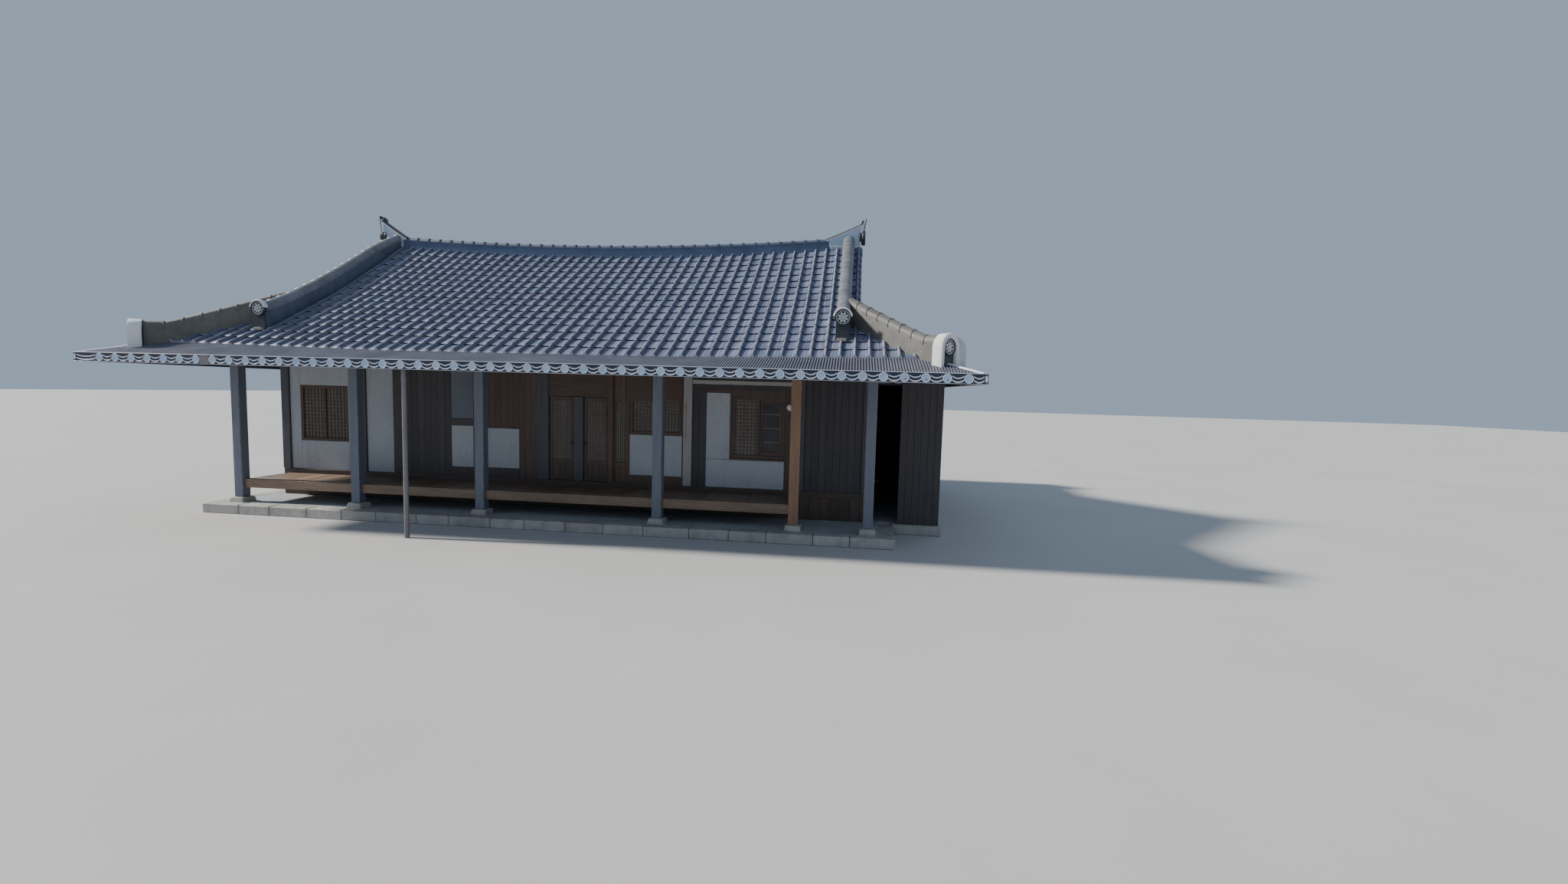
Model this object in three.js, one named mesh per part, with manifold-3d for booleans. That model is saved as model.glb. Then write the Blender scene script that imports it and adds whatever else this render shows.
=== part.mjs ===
// A single-storey hanok with a half-hip tile roof, built up from its plinth.
// Millimetres, +Z up. X runs along the ridge, the veranda side faces -Y, the ground is z = 0.
import * as THREE from 'three'
import { mergeVertices } from 'three/addons/utils/BufferGeometryUtils.js'
import Module from 'manifold-3d'

const wasm = await Module()
wasm.setup()

// Shared values
const GAP = 0.3
const house = new THREE.Group()

// Ground works and floors
const PLINTH = { x: 5450, front: -3420, back: 2980, top: 150 }
const FLOOR_TOP = 560
const VERANDA = { x0: -4987, x1: 3897, front: -3120, top: 524, board: 45, beamDeep: 110, beamWide: 90 }

// Walls: outer faces, thickness, and how far posts stand proud of them
const WALL = { x: 5100, front: -2300, back: 2700, thick: 120 }
const PANEL_RECESS = 18
const POST_PROUD = 14

// Heights along the front wall
const SILL_TOP = 600
const LINTEL_LOW = 2000
const HEAD = { low: 2370, top: 2490 }

// Posts of the front wall
const LEFT_POST = { x0: -WALL.x, x1: -4955 }
const ROOM_POST = { x0: -3660, x1: -3512 }
const DARK_POST = { x0: -3000, x1: -2810 }
const DOOR_POST_LEFT = { x0: -426, x1: -220 }
const DOOR_POST_MIDDLE = { x0: 221, x1: 379 }
const SIDE_LIGHT = { x0: 803, x1: 1128 }
const BAY_POST = { x0: 2070, x1: 2210 }
const KITCHEN_POST = { x0: 3880, x1: 4040 }
const RIGHT_POST = { x0: 4955, x1: WALL.x }

// Windows of the front and back walls, and the proud band over the right window
const LEFT_WINDOW = { x0: -4760, x1: -3860, z0: 1100, z1: 2060 }
const MIDDLE_WINDOW = { x0: 1165, x1: 2045, z0: 1415, z1: 2000 }
const RIGHT_WINDOW = { x0: 2865, x1: 3722, z0: 1092, z1: 2072 }
const RIGHT_BAND = { low: 2190, top: 2350 }
const BACK_WINDOWS = [-2700, 2700]
const BACK_WINDOW = { half: 450, z0: 1250, z1: 2050 }
const WINDOW_FRAME = { wide: 45, deep: 60, paneFront: 36, paneBack: 44 }

// What stands on the long walls, falling to its shoulders where the side roofs come down
const UPPER = { shoulderX: 4950, shoulderZ: 2690, x: 4380, halfThick: 45 }
const SIDE_WALL_TOP = 2540
const SIDE_PURLIN_REACH = 2850

// Front posts under the eave, on tapered stones
const POST_W = 145
const FRONT_POSTS = [-5060, -3000, -910, 1910, 3970, 5060]
const FRONT_POST_Y = -3170 + POST_W / 2
const STONE = { wide: 250, top: 230 }
const EAVE_BEAM = { low: 2360, top: 2480, half: 65, reach: 5160 }

// Boarded store under the right eave
const STORE = { x0: 5540, x1: 6180, thick: 50, top: 2380 }

// Roof: half spans of the tiled area and its curved profile
const TILE_X = 5744
const TILE_Y = 3589
const EDGE_Z = 2590
const RISE = 2350
const PROFILE_LINEAR = 0.834
const RIDGE_SAG = 200
const GABLE_X = 4600
const VERGE_X = 4850
const GABLE_WALL = { x: 4505, thick: 60, foot: 3200, half: 2080, top: 4570 }
const HIP_OFFSET = TILE_X - TILE_Y
const TUCK_Y = 2340
const VERGE_S = TILE_X - VERGE_X

// Rows of tile rolls up the slopes, as plain bars that stop short of the ridges
const ROLL = { pitch: 200, anchor: 4388, foot: 36, crown: 14, height: 34, sunk: 12, start: 4, clear: 10 }

// Straight undersides of the roof: eave stretch, then the steeper stretch to the ridge
const UNDER = { edge: 2500, breakS: 1289, breakZ: 3120, ridge: 4520 }

// Where the main slopes bend, from the tile edge up to the ridge
const SLOPE_ROWS = [0, VERGE_S, UNDER.breakS, 2100, 2850, TILE_Y - GAP]

// Rafters with their boarding, and the round purlins that carry them
const RAFTER = { radius: 45, bedded: 4, board: 12, pitch: 320, sides: 6, start: 40, least: 260 }
const RAFTER_DEPTH = { front: 1450, back: 1050, side: 800 }
const PURLIN = { radius: 80, foot: 42, seat: 1 }

// Eave strip and gutter: distances run outwards from the tile edge
const STRIP = { run: 640, top: 2588, drop: 140, thick: 28 }
const GUTTER = { out: 680, deep: 120, low: 2330, top: 2460, sheet: 6 }
const DOWNPIPE = { x: -1325, radius: 34 }

// Ridges
const RIDGE = { half: 120, endHalf: 85, endX: 4330, topMiddle: 4960, topEnd: 5105 }
const RIDGE_TIP = { x: 4985, z: 5530 }
const RIDGE_DRUM = { radius: 120, long: 120, z: 5130 }
const DESCEND = { half: 105, height: 400, lift: 90, y1: 3120, discRadius: 133, discRise: 396, discLong: 80 }
const HIP = { half: 100, startHeight: 400, endHeight: 330, endX: 5905 }
const HIP_BLOCK = { half: 170, thick: 150, spring: 2800, wing: 320, wingTop: 2790, discRadius: 133, discZ: 2828 }
const BED_LOW = 2200

// How far a row of rolls keeps from the hip line, measured along the row
const HIP_CLEAR = HIP.half * Math.SQRT2 + ROLL.foot + ROLL.clear

// Hinged doors, each on the jamb away from the middle post
const DOOR = { recess: 15, thick: 36, clear: 6, stile: 48, rail: 60, lock: 950 }
const HINGE = { radius: 8, long: 35, inset: 11, y: WALL.front - 5, heights: [800, 1700] }
const LEFT_PIN = DOOR_POST_LEFT.x1 + HINGE.inset
const RIGHT_PIN = SIDE_LIGHT.x0 - HINGE.inset

const colours = {
  stone: [0.55, 0.54, 0.51, 0.9],
  plaster: [0.80, 0.80, 0.77, 0.85],
  wood: [0.22, 0.13, 0.09, 0.7],
  post: [0.24, 0.24, 0.27, 0.7],
  tile: [0.17, 0.18, 0.22, 0.6],
  ridge: [0.20, 0.21, 0.24, 0.6],
  white: [0.86, 0.87, 0.88, 0.7],
  gutter: [0.05, 0.07, 0.16, 0.4]
}

function material (slot) {
  const [r, g, b, roughness] = colours[slot]
  return new THREE.MeshStandardMaterial({ color: new THREE.Color(r, g, b), roughness, metalness: 0 })
}

function add (name, geometry, slot) {
  const mesh = new THREE.Mesh(geometry, material(slot))
  mesh.name = name
  house.add(mesh)
}

// A box given by its two corners
function box (x0, x1, y0, y1, z0, z1) {
  const g = new THREE.BoxGeometry(x1 - x0, y1 - y0, z1 - z0)
  g.translate((x0 + x1) / 2, (y0 + y1) / 2, (z0 + z1) / 2)
  return g
}

// An upright outline of [x, z] points, given a thickness from y0 to y1
function upright (points, y0, y1) {
  const shape = new THREE.Shape(points.map(([x, z]) => new THREE.Vector2(x, z)))
  const g = new THREE.ExtrudeGeometry(shape, { depth: y1 - y0, bevelEnabled: false })
  g.rotateX(Math.PI / 2)
  g.translate(0, y1, 0)
  return g
}

// Solids that are cut or joined
function solid (geometry) {
  const g = geometry.clone()
  g.deleteAttribute('normal')
  g.deleteAttribute('uv')
  const merged = mergeVertices(g, 1e-3)
  const mesh = new wasm.Mesh({
    numProp: 3,
    vertProperties: new Float32Array(merged.attributes.position.array),
    triVerts: new Uint32Array(merged.index.array)
  })
  return new wasm.Manifold(mesh)
}

function geometryOf (manifold) {
  const mesh = manifold.getMesh()
  const g = new THREE.BufferGeometry()
  g.setAttribute('position', new THREE.BufferAttribute(new Float32Array(mesh.vertProperties), 3))
  g.setIndex(new THREE.BufferAttribute(new Uint32Array(mesh.triVerts), 1))
  g.computeVertexNormals()
  return g
}

function join (geometries) {
  return geometryOf(geometries.map(solid).reduce((a, b) => a.add(b)))
}

function cut (geometry, tools) {
  return geometryOf(tools.map(solid).reduce((a, b) => a.subtract(b), solid(geometry)))
}

// Builds a geometry and turns its faces round where its volume comes out negative
function facingOut (positions, index) {
  const p = (i) => new THREE.Vector3(positions[3 * i], positions[3 * i + 1], positions[3 * i + 2])
  let volume = 0
  for (let i = 0; i < index.length; i += 3) {
    volume += p(index[i]).dot(p(index[i + 1]).cross(p(index[i + 2])))
  }
  if (volume < 0) {
    for (let i = 0; i < index.length; i += 3) {
      const keep = index[i]
      index[i] = index[i + 1]
      index[i + 1] = keep
    }
  }
  const g = new THREE.BufferGeometry()
  g.setAttribute('position', new THREE.BufferAttribute(new Float32Array(positions), 3))
  g.setIndex(index)
  g.computeVertexNormals()
  return g
}

// A closed skin through rings of equal length, with the outline's triangles as its two ends
function loft (rings, outline) {
  const count = rings[0].length
  const positions = rings.flat().flatMap((p) => [p.x, p.y, p.z])
  const index = []
  for (let r = 0; r + 1 < rings.length; r++) {
    for (let i = 0; i < count; i++) {
      const j = (i + 1) % count
      const a = r * count + i
      const b = r * count + j
      index.push(a, b, b + count, a, b + count, a + count)
    }
  }
  const flat = outline.map(([u, v]) => new THREE.Vector2(u, v))
  const last = (rings.length - 1) * count
  const turned = THREE.ShapeUtils.area(flat) < 0
  for (const face of THREE.ShapeUtils.triangulateShape(flat, [])) {
    const [a, b, c] = turned ? [face[0], face[2], face[1]] : face
    index.push(a, c, b, last + a, last + b, last + c)
  }
  return facingOut(positions, index)
}

// A slab over a grid of plan points, with its own top and underside heights
function slab (rows, top, under) {
  const nr = rows.length
  const nc = rows[0].length
  const positions = []
  for (const height of [top, under]) {
    for (const row of rows) {
      for (const [x, y] of row) positions.push(x, y, height(x, y))
    }
  }
  const index = []
  const at = (layer, r, c) => (layer * nr + r) * nc + c
  for (let r = 0; r + 1 < nr; r++) {
    for (let c = 0; c + 1 < nc; c++) {
      index.push(at(0, r, c), at(0, r, c + 1), at(0, r + 1, c + 1))
      index.push(at(0, r, c), at(0, r + 1, c + 1), at(0, r + 1, c))
      index.push(at(1, r, c), at(1, r + 1, c + 1), at(1, r, c + 1))
      index.push(at(1, r, c), at(1, r + 1, c), at(1, r + 1, c + 1))
    }
  }
  const wall = (r0, c0, r1, c1) => {
    index.push(at(0, r0, c0), at(1, r0, c0), at(1, r1, c1))
    index.push(at(0, r0, c0), at(1, r1, c1), at(0, r1, c1))
  }
  for (let c = 0; c + 1 < nc; c++) {
    wall(0, c, 0, c + 1)
    wall(nr - 1, c + 1, nr - 1, c)
  }
  for (let r = 0; r + 1 < nr; r++) {
    wall(r + 1, 0, r, 0)
    wall(r, nc - 1, r + 1, nc - 1)
  }
  return facingOut(positions, index)
}

function mirrored (geometry, sx, sy) {
  const p = geometry.attributes.position
  const positions = []
  for (let i = 0; i < p.count; i++) positions.push(sx * p.getX(i), sy * p.getY(i), p.getZ(i))
  return facingOut(positions, Array.from(geometry.index.array))
}

// Roof heights: s is the distance in from the tile edge
function profile (s) {
  const t = s / TILE_Y
  return EDGE_Z + RISE * (PROFILE_LINEAR * t + (1 - PROFILE_LINEAR) * t * t)
}

function mainTop (x, y) {
  const s = TILE_Y - Math.abs(y)
  const t = s / TILE_Y
  const u = Math.min(1, Math.abs(x) / GABLE_X)
  return profile(s) - RIDGE_SAG * (1 - u * u) * t * t
}

function sideTop (x) {
  return profile(TILE_X - Math.abs(x))
}

function underSlope (s) {
  if (s < UNDER.breakS) return (UNDER.breakZ - UNDER.edge) / UNDER.breakS
  return (UNDER.ridge - UNDER.breakZ) / (TILE_Y - UNDER.breakS)
}

function underside (s) {
  if (s < UNDER.breakS) return UNDER.edge + underSlope(s) * s
  return UNDER.breakZ + underSlope(s) * (s - UNDER.breakS)
}

function mainUnder (x, y) {
  return underside(TILE_Y - Math.abs(y))
}

// Plinth, with the stones of the front posts standing on it
function buildPlinth () {
  const base = box(-PLINTH.x, PLINTH.x, PLINTH.front, PLINTH.back, 0, PLINTH.top)
  const side = box(PLINTH.x - 10, STORE.x1 + 40, WALL.front - 100, WALL.back, 0, PLINTH.top)
  const foot = PLINTH.top - 10
  const stones = FRONT_POSTS.map((x) => {
    const radius = STONE.wide / 2 / Math.SQRT1_2
    const g = new THREE.CylinderGeometry(radius * 0.86, radius, STONE.top - foot, 4)
    g.rotateY(Math.PI / 4)
    g.rotateX(Math.PI / 2)
    g.translate(x, FRONT_POST_Y, (STONE.top + foot) / 2)
    return g
  })
  add('plinth', join([base, side, ...stones]), 'stone')
}

// Raised floor of the rooms, between the walls
function buildFloor () {
  const x = WALL.x - WALL.thick - GAP
  const front = WALL.front + WALL.thick + GAP
  const back = WALL.back - WALL.thick - GAP
  add('room_floor', box(-x, x, front, back, PLINTH.top + GAP, FLOOR_TOP), 'wood')
}

// Veranda: boards on a front beam that is let into the front posts
function buildVeranda () {
  const { x0, x1, front, top, board, beamDeep, beamWide } = VERANDA
  const low = top - board
  const back = WALL.front - GAP
  const deck = box(x0, x1, front, back, low, top)
  const beam = box(x0, x1, front, front + beamWide, low - beamDeep, low + 5)
  const ledger = box(x0, x1, back - beamWide, back, low - beamDeep, low + 5)
  const half = POST_W / 2 + GAP
  const clear = FRONT_POSTS.slice(1, 4).map((x) =>
    box(x - half, x + half, front - 10, FRONT_POST_Y + half, low - beamDeep - 10, top + 10))
  add('veranda_floor', cut(join([deck, beam, ledger]), clear), 'wood')
}

// A round purlin on a narrow plate, from its crest down to lowZ, running along X
function purlin (length, crest, lowZ) {
  const { radius, foot } = PURLIN
  const start = Math.asin(foot / radius)
  const points = [[-foot, lowZ], [foot, lowZ]]
  const steps = 10
  for (let i = 0; i <= steps; i++) {
    const a = -Math.PI / 2 + start + (2 * Math.PI - 2 * start) * i / steps
    points.push([radius * Math.cos(a), crest - radius + radius * Math.sin(a)])
  }
  const g = upright(points, -length / 2, length / 2)
  g.rotateZ(Math.PI / 2)
  return g
}

// The crest of a purlin whose round side touches the rafters at s from the tile edge
function purlinCrest (s) {
  const rafterLow = underside(s) - GAP - RAFTER.board + RAFTER.bedded - 2 * RAFTER.radius
  return rafterLow - PURLIN.radius * (Math.hypot(1, underSlope(s)) - 1) - PURLIN.seat
}

// Front posts and the beam on them
function buildFrontFrame () {
  const half = POST_W / 2
  FRONT_POSTS.forEach((x, i) => {
    const post = box(x - half, x + half, FRONT_POST_Y - half, FRONT_POST_Y + half, STONE.top + GAP, EAVE_BEAM.low - GAP)
    add(`front_post_${i + 1}`, post, 'post')
  })
  const { low, top, reach } = EAVE_BEAM
  const beam = box(-reach, reach, -EAVE_BEAM.half, EAVE_BEAM.half, low, top)
  const round = purlin(2 * reach + 120, purlinCrest(TILE_Y + FRONT_POST_Y), top - 5)
  const whole = join([beam, round])
  whole.translate(0, FRONT_POST_Y, 0)
  add('eave_beam', whole, 'wood')
}

// Pieces of the front wall: posts stand proud, panels lie back
function frontPost (x0, x1, z1 = HEAD.low - GAP) {
  return box(x0, x1, WALL.front - POST_PROUD, WALL.front + WALL.thick, SILL_TOP + GAP, z1)
}

function frontPanel (x0, x1, hole) {
  const y0 = WALL.front + PANEL_RECESS
  const y1 = WALL.front + WALL.thick - 10
  const panel = box(x0, x1, y0, y1, SILL_TOP + GAP, HEAD.low - GAP)
  if (!hole) return panel
  return cut(panel, [box(hole.x0, hole.x1, y0 - 50, y1 + 50, hole.z0, hole.z1)])
}

// A framed window of equal lights, filling its hole, its outer face at y
function windowIn (hole, lights, y) {
  const x0 = hole.x0 + GAP
  const x1 = hole.x1 - GAP
  const z0 = hole.z0 + GAP
  const z1 = hole.z1 - GAP
  const { wide, deep, paneFront, paneBack } = WINDOW_FRAME
  const parts = [
    box(x0, x1, y + paneFront, y + paneBack, z0, z1),
    box(x0, x1, y, y + deep, z0, z0 + wide),
    box(x0, x1, y, y + deep, z1 - wide, z1)
  ]
  for (let i = 0; i <= lights; i++) {
    const x = x0 + (x1 - x0 - wide) * i / lights
    parts.push(box(x, x + wide, y, y + deep, z0, z1))
  }
  return join(parts)
}

// The fixed halves of a door's hinges, reaching from the jamb to the pin
function fixedKnuckles (pinX, side) {
  return HINGE.heights.flatMap((z) => {
    const jamb = pinX - side * (HINGE.inset + 1)
    const arm = box(Math.min(pinX, jamb), Math.max(pinX, jamb), HINGE.y - 7, HINGE.y + 7, z, z + HINGE.long)
    return [knuckle(pinX, z), arm]
  })
}

function knuckle (pinX, z) {
  const g = new THREE.CylinderGeometry(HINGE.radius, HINGE.radius, HINGE.long, 12)
  g.rotateX(Math.PI / 2)
  g.translate(pinX, HINGE.y, z + HINGE.long / 2)
  return g
}

function buildFrontWall () {
  const { x, front, thick } = WALL
  add('front_base_wall', box(-x, x, front, front + thick, PLINTH.top + GAP, SILL_TOP), 'wood')

  const windowY = front + PANEL_RECESS + 6
  add('front_wall_left', join([
    frontPost(LEFT_POST.x0, LEFT_POST.x1),
    frontPanel(LEFT_POST.x1 - 1, ROOM_POST.x0 + 1, LEFT_WINDOW),
    frontPost(ROOM_POST.x0, ROOM_POST.x1),
    frontPanel(ROOM_POST.x1 - 1, DARK_POST.x0 + 1),
    frontPost(DARK_POST.x0, DARK_POST.x1 - GAP)
  ]), 'plaster')
  add('window_left', windowIn(LEFT_WINDOW, 2, windowY), 'wood')

  add('front_wall_boards', join([
    frontPanel(DARK_POST.x1, DOOR_POST_LEFT.x0 + 1),
    frontPost(DOOR_POST_LEFT.x0, DOOR_POST_LEFT.x1),
    ...fixedKnuckles(LEFT_PIN, 1)
  ]), 'wood')
  add('door_post', frontPost(DOOR_POST_MIDDLE.x0, DOOR_POST_MIDDLE.x1, LINTEL_LOW - GAP), 'wood')
  add('door_head', box(DOOR_POST_LEFT.x1 + GAP, SIDE_LIGHT.x0 - GAP, front, front + thick, LINTEL_LOW,
    HEAD.low - GAP), 'wood')

  add('front_wall_middle', join([
    frontPost(SIDE_LIGHT.x0, SIDE_LIGHT.x0 + 87),
    frontPanel(SIDE_LIGHT.x0 + 86, BAY_POST.x0 + 1, MIDDLE_WINDOW),
    frontPost(BAY_POST.x0, BAY_POST.x1 - GAP),
    ...fixedKnuckles(RIGHT_PIN, -1)
  ]), 'plaster')
  add('window_middle', windowIn(MIDDLE_WINDOW, 2, windowY), 'wood')

  add('front_wall_right', join([
    frontPanel(BAY_POST.x1, KITCHEN_POST.x0 + 1, RIGHT_WINDOW),
    box(BAY_POST.x1, KITCHEN_POST.x0 + 1, front, front + thick, RIGHT_BAND.low, RIGHT_BAND.top),
    frontPost(KITCHEN_POST.x0, KITCHEN_POST.x1),
    frontPanel(KITCHEN_POST.x1 - 1, RIGHT_POST.x0 + 1),
    frontPost(RIGHT_POST.x0, RIGHT_POST.x1)
  ]), 'plaster')
  add('window_right', windowIn(RIGHT_WINDOW, 2, windowY), 'wood')
}

// What stands on a long wall: it drops towards its ends, where the side roofs come down
function upperWall (low, crest, y) {
  const top = crest - 2 * PURLIN.radius - 30
  const { shoulderX, shoulderZ, x, halfThick } = UPPER
  const outline = [
    [-shoulderX, low], [shoulderX, low], [shoulderX, Math.min(shoulderZ, top)],
    [x, top], [-x, top], [-shoulderX, Math.min(shoulderZ, top)]
  ]
  const round = purlin(2 * x, crest, top - 5)
  round.translate(0, y, 0)
  return [upright(outline, y - halfThick, y + halfThick), round]
}

function buildUpperWall () {
  const { x, front, thick } = WALL
  const y = front + thick / 2
  const beam = box(-x, x, front - POST_PROUD, front + thick, HEAD.low, HEAD.top)
  add('front_upper_wall', join([beam, ...upperWall(HEAD.top - 5, purlinCrest(TILE_Y + y), y)]), 'wood')
}

// Back wall with its windows and side walls, each carrying its purlin
function buildBackWall () {
  const { x, back, thick } = WALL
  const y = back - thick / 2
  const wall = box(-x, x, back - thick, back, PLINTH.top + GAP, SIDE_WALL_TOP)
  const holes = BACK_WINDOWS.map((middle) => ({
    x0: middle - BACK_WINDOW.half,
    x1: middle + BACK_WINDOW.half,
    z0: BACK_WINDOW.z0,
    z1: BACK_WINDOW.z1
  }))
  const tools = holes.map((h) => box(h.x0, h.x1, back - thick - 50, back + 50, h.z0, h.z1))
  const upper = upperWall(SIDE_WALL_TOP - 5, purlinCrest(TILE_Y - y), y)
  add('back_wall', cut(join([wall, ...upper]), tools), 'plaster')
  holes.forEach((hole, i) => {
    const pane = mirrored(windowIn(hole, 2, -back + 10), 1, -1)
    add(`back_window_${i + 1}`, pane, 'wood')
  })
}

function buildSideWalls () {
  const { x, front, back, thick } = WALL
  const round = purlin(2 * SIDE_PURLIN_REACH, purlinCrest(TILE_X - x + thick / 2), SIDE_WALL_TOP + GAP)
  round.rotateZ(Math.PI / 2)
  round.translate(x - thick / 2, 0, 0)
  const wall = box(x - thick, x, front + thick + GAP, back - thick - GAP, PLINTH.top + GAP, SIDE_WALL_TOP + 5)
  const right = join([wall, round])
  add('right_wall', right, 'plaster')
  add('left_wall', mirrored(right, -1, 1), 'plaster')
}

// Boarded screens that close the store under the right eave
function buildStore () {
  const { x0, x1, thick, top } = STORE
  const { front, back } = WALL
  const low = PLINTH.top + GAP
  add('store_front', box(x0, x1, front, front + thick, low, top), 'wood')
  add('store_side', box(x1 - thick, x1, front + thick + GAP, back - thick - GAP, low, top), 'wood')
  add('store_back', box(WALL.x + GAP, x1, back - thick, back, low, top), 'wood')
}

// A door leaf with hinge halves on its pin; side is 1 where the pin is at its left edge
function doorLeaf (pinX, opening, side) {
  const y0 = WALL.front + DOOR.recess
  const y1 = y0 + DOOR.thick
  const swing = opening - HINGE.inset - DOOR.clear
  const width = Math.sqrt(swing * swing - (y1 - HINGE.y) * (y1 - HINGE.y))
  const hang = pinX + side
  const free = pinX + side * width
  const x0 = Math.min(hang, free)
  const x1 = Math.max(hang, free)
  const low = SILL_TOP + DOOR.clear
  const top = LINTEL_LOW - DOOR.clear
  const { stile, rail, lock } = DOOR
  const parts = [
    box(x0, x0 + stile, y0, y1, low, top),
    box(x1 - stile, x1, y0, y1, low, top),
    box(x0, x1, y0, y1, low, low + rail),
    box(x0, x1, y0, y1, top - rail, top),
    box(x0, x1, y0, y1, lock - rail, lock),
    box(x0 + 10, x1 - 10, y0 + 20, y0 + 28, low + 10, top - 10)
  ]
  for (const z of HINGE.heights) {
    const foot = z + HINGE.long + GAP
    const armX = [pinX - side * 4, pinX + side * 8].sort((a, b) => a - b)
    parts.push(knuckle(pinX, foot), box(armX[0], armX[1], HINGE.y, y0 + 1, foot, foot + HINGE.long))
  }
  return join(parts)
}

function buildDoors () {
  const leftOpening = DOOR_POST_MIDDLE.x0 - DOOR_POST_LEFT.x1
  const rightOpening = SIDE_LIGHT.x0 - DOOR_POST_MIDDLE.x1
  add('left_door', doorLeaf(LEFT_PIN, leftOpening, 1), 'wood')
  add('right_door', doorLeaf(RIGHT_PIN, rightOpening, -1), 'wood')
}

// Rafters under a thin boarding, for the side of the roof that faces -Y
function rafters (halfLength, halfSpan, depth) {
  const { radius, bedded, board, pitch, sides, start, least } = RAFTER
  const drop = (s) => underside(s) - GAP
  const stops = (list) => list.filter((s) => s <= list[list.length - 1])
  const rows = stops([start, UNDER.breakS, depth])
  const grid = rows.map((s) => [-1, 1].map((u) => [u * (halfSpan - s - 1), s - halfLength]))
  const top = (x, y) => drop(halfLength + y)
  const parts = [slab(grid, top, (x, y) => top(x, y) - board)]
  const outline = Array.from({ length: sides }, (_, k) => {
    const a = 2 * Math.PI * (k + 0.5) / sides
    return [radius * Math.cos(a), radius * Math.sin(a)]
  })
  const count = Math.floor((halfSpan - least) / pitch)
  for (let i = -count; i <= count; i++) {
    const x = i * pitch
    const reach = Math.min(depth - 20, halfSpan - Math.abs(x) - 2 * radius)
    if (reach < least) continue
    const rings = stops([start + 10, UNDER.breakS, reach]).map((s) => {
      const middle = drop(s) - board + bedded - radius
      return outline.map(([u, v]) => new THREE.Vector3(x + u, s - halfLength, middle + v))
    })
    parts.push(loft(rings, outline))
  }
  return join(parts)
}

function buildRafters () {
  add('front_rafters', rafters(TILE_Y, TILE_X, RAFTER_DEPTH.front), 'wood')
  add('back_rafters', rafters(TILE_Y, TILE_X, RAFTER_DEPTH.back).rotateZ(Math.PI), 'wood')
  const side = rafters(TILE_X, TILE_Y, RAFTER_DEPTH.side)
  add('right_rafters', side.clone().rotateZ(Math.PI / 2), 'wood')
  add('left_rafters', side.rotateZ(-Math.PI / 2), 'wood')
}

// Main slope facing -Y: full width up the hips, then straight up between the verges.
// With over above 0 it runs on by that much past its hips and its top edge.
function slopeGrid (over) {
  const columns = 16
  const rows = over > 0 ? [...SLOPE_ROWS, TILE_Y + over] : SLOPE_ROWS
  return rows.map((s) => {
    const reach = Math.max(VERGE_X, TILE_X - s) + over
    return Array.from({ length: columns + 1 }, (_, i) => [reach * (2 * i / columns - 1), s - TILE_Y])
  })
}

// Side skirt: from hip to hip up to the verge, and tucked in below the main slopes to the gable
function tuckTop (x, y) {
  return Math.min(sideTop(x), mainUnder(x, y) - 8)
}

function tuckGrid () {
  const steps = 13
  return [GABLE_WALL.x - 5, 4600, 4700, 4800, VERGE_X + 40].map((x) =>
    Array.from({ length: steps + 1 }, (_, i) => [x, TUCK_Y * (2 * i / steps - 1)]))
}

function skirtGrid (over) {
  return [0, VERGE_S - GAP].map((s) =>
    [-1, 0, 1].map((u) => [TILE_X - s, u * (TILE_Y - s - 1.5 * GAP + over)]))
}

function skirt () {
  const under = (x) => underside(TILE_X - x)
  const outer = slab(skirtGrid(0), sideTop, under)
  const tuck = slab(tuckGrid(), tuckTop, (x, y) => Math.min(under(x), tuckTop(x, y) - 60))
  return join([outer, tuck])
}

// One row of rolls at a across the slope facing -Y, from s0 to s1 in from its tile edge
function rollRow (a, s0, s1, halfLength, top) {
  const { foot, crown, height, sunk } = ROLL
  const outline = [[-foot, -sunk], [-crown, height], [crown, height], [foot, -sunk]]
  const between = SLOPE_ROWS.filter((s) => s > s0 + ROLL.clear && s < s1 - ROLL.clear)
  const rings = [s0, ...between, s1].map((s) =>
    outline.map(([u, v]) => new THREE.Vector3(a + u, s - halfLength, top(a, s - halfLength) + v)))
  return loft(rings, outline)
}

// Rows across a slope; spans(a) lists the stretches of the row at a, each from s0 to s1
function rollRows (halfSpan, halfLength, top, spans) {
  const { pitch, anchor, foot } = ROLL
  const first = anchor - pitch * Math.floor((anchor + halfSpan) / pitch)
  const rows = []
  for (let a = first; a < halfSpan; a += pitch) {
    for (const [s0, s1] of spans(Math.abs(a))) {
      if (s1 - s0 > 3 * foot) rows.push(rollRow(a, s0, s1, halfLength, top))
    }
  }
  return rows
}

// Stretches of a main slope's row at a from the middle: clear of the ridges that cross or cover it
function mainSpans (a) {
  const { start, foot, clear } = ROLL
  const hipS = TILE_X - a
  const ridgeS = TILE_Y - RIDGE.half - clear
  const beside = Math.abs(a - GABLE_X) > DESCEND.half + foot + clear
  if (a < GABLE_X && beside) return [[start, ridgeS]]
  if (!beside) return [[start, TILE_Y - DESCEND.y1 - DESCEND.discLong - clear]]
  if (a < VERGE_X) return [[start, hipS - HIP_CLEAR], [hipS + HIP_CLEAR, ridgeS]]
  return [[start, hipS - HIP_CLEAR]]
}

function skirtSpans (a) {
  return [[ROLL.start, Math.min(VERGE_S - ROLL.clear, TILE_Y - a - HIP_CLEAR)]]
}

// A slope with its rolls, which are turned by so many quarters about the middle of the house
function tiled (slope, rolls, quarters) {
  return join([slope, ...rolls.map((g) => g.clone().rotateZ(quarters * Math.PI / 2))])
}

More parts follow.
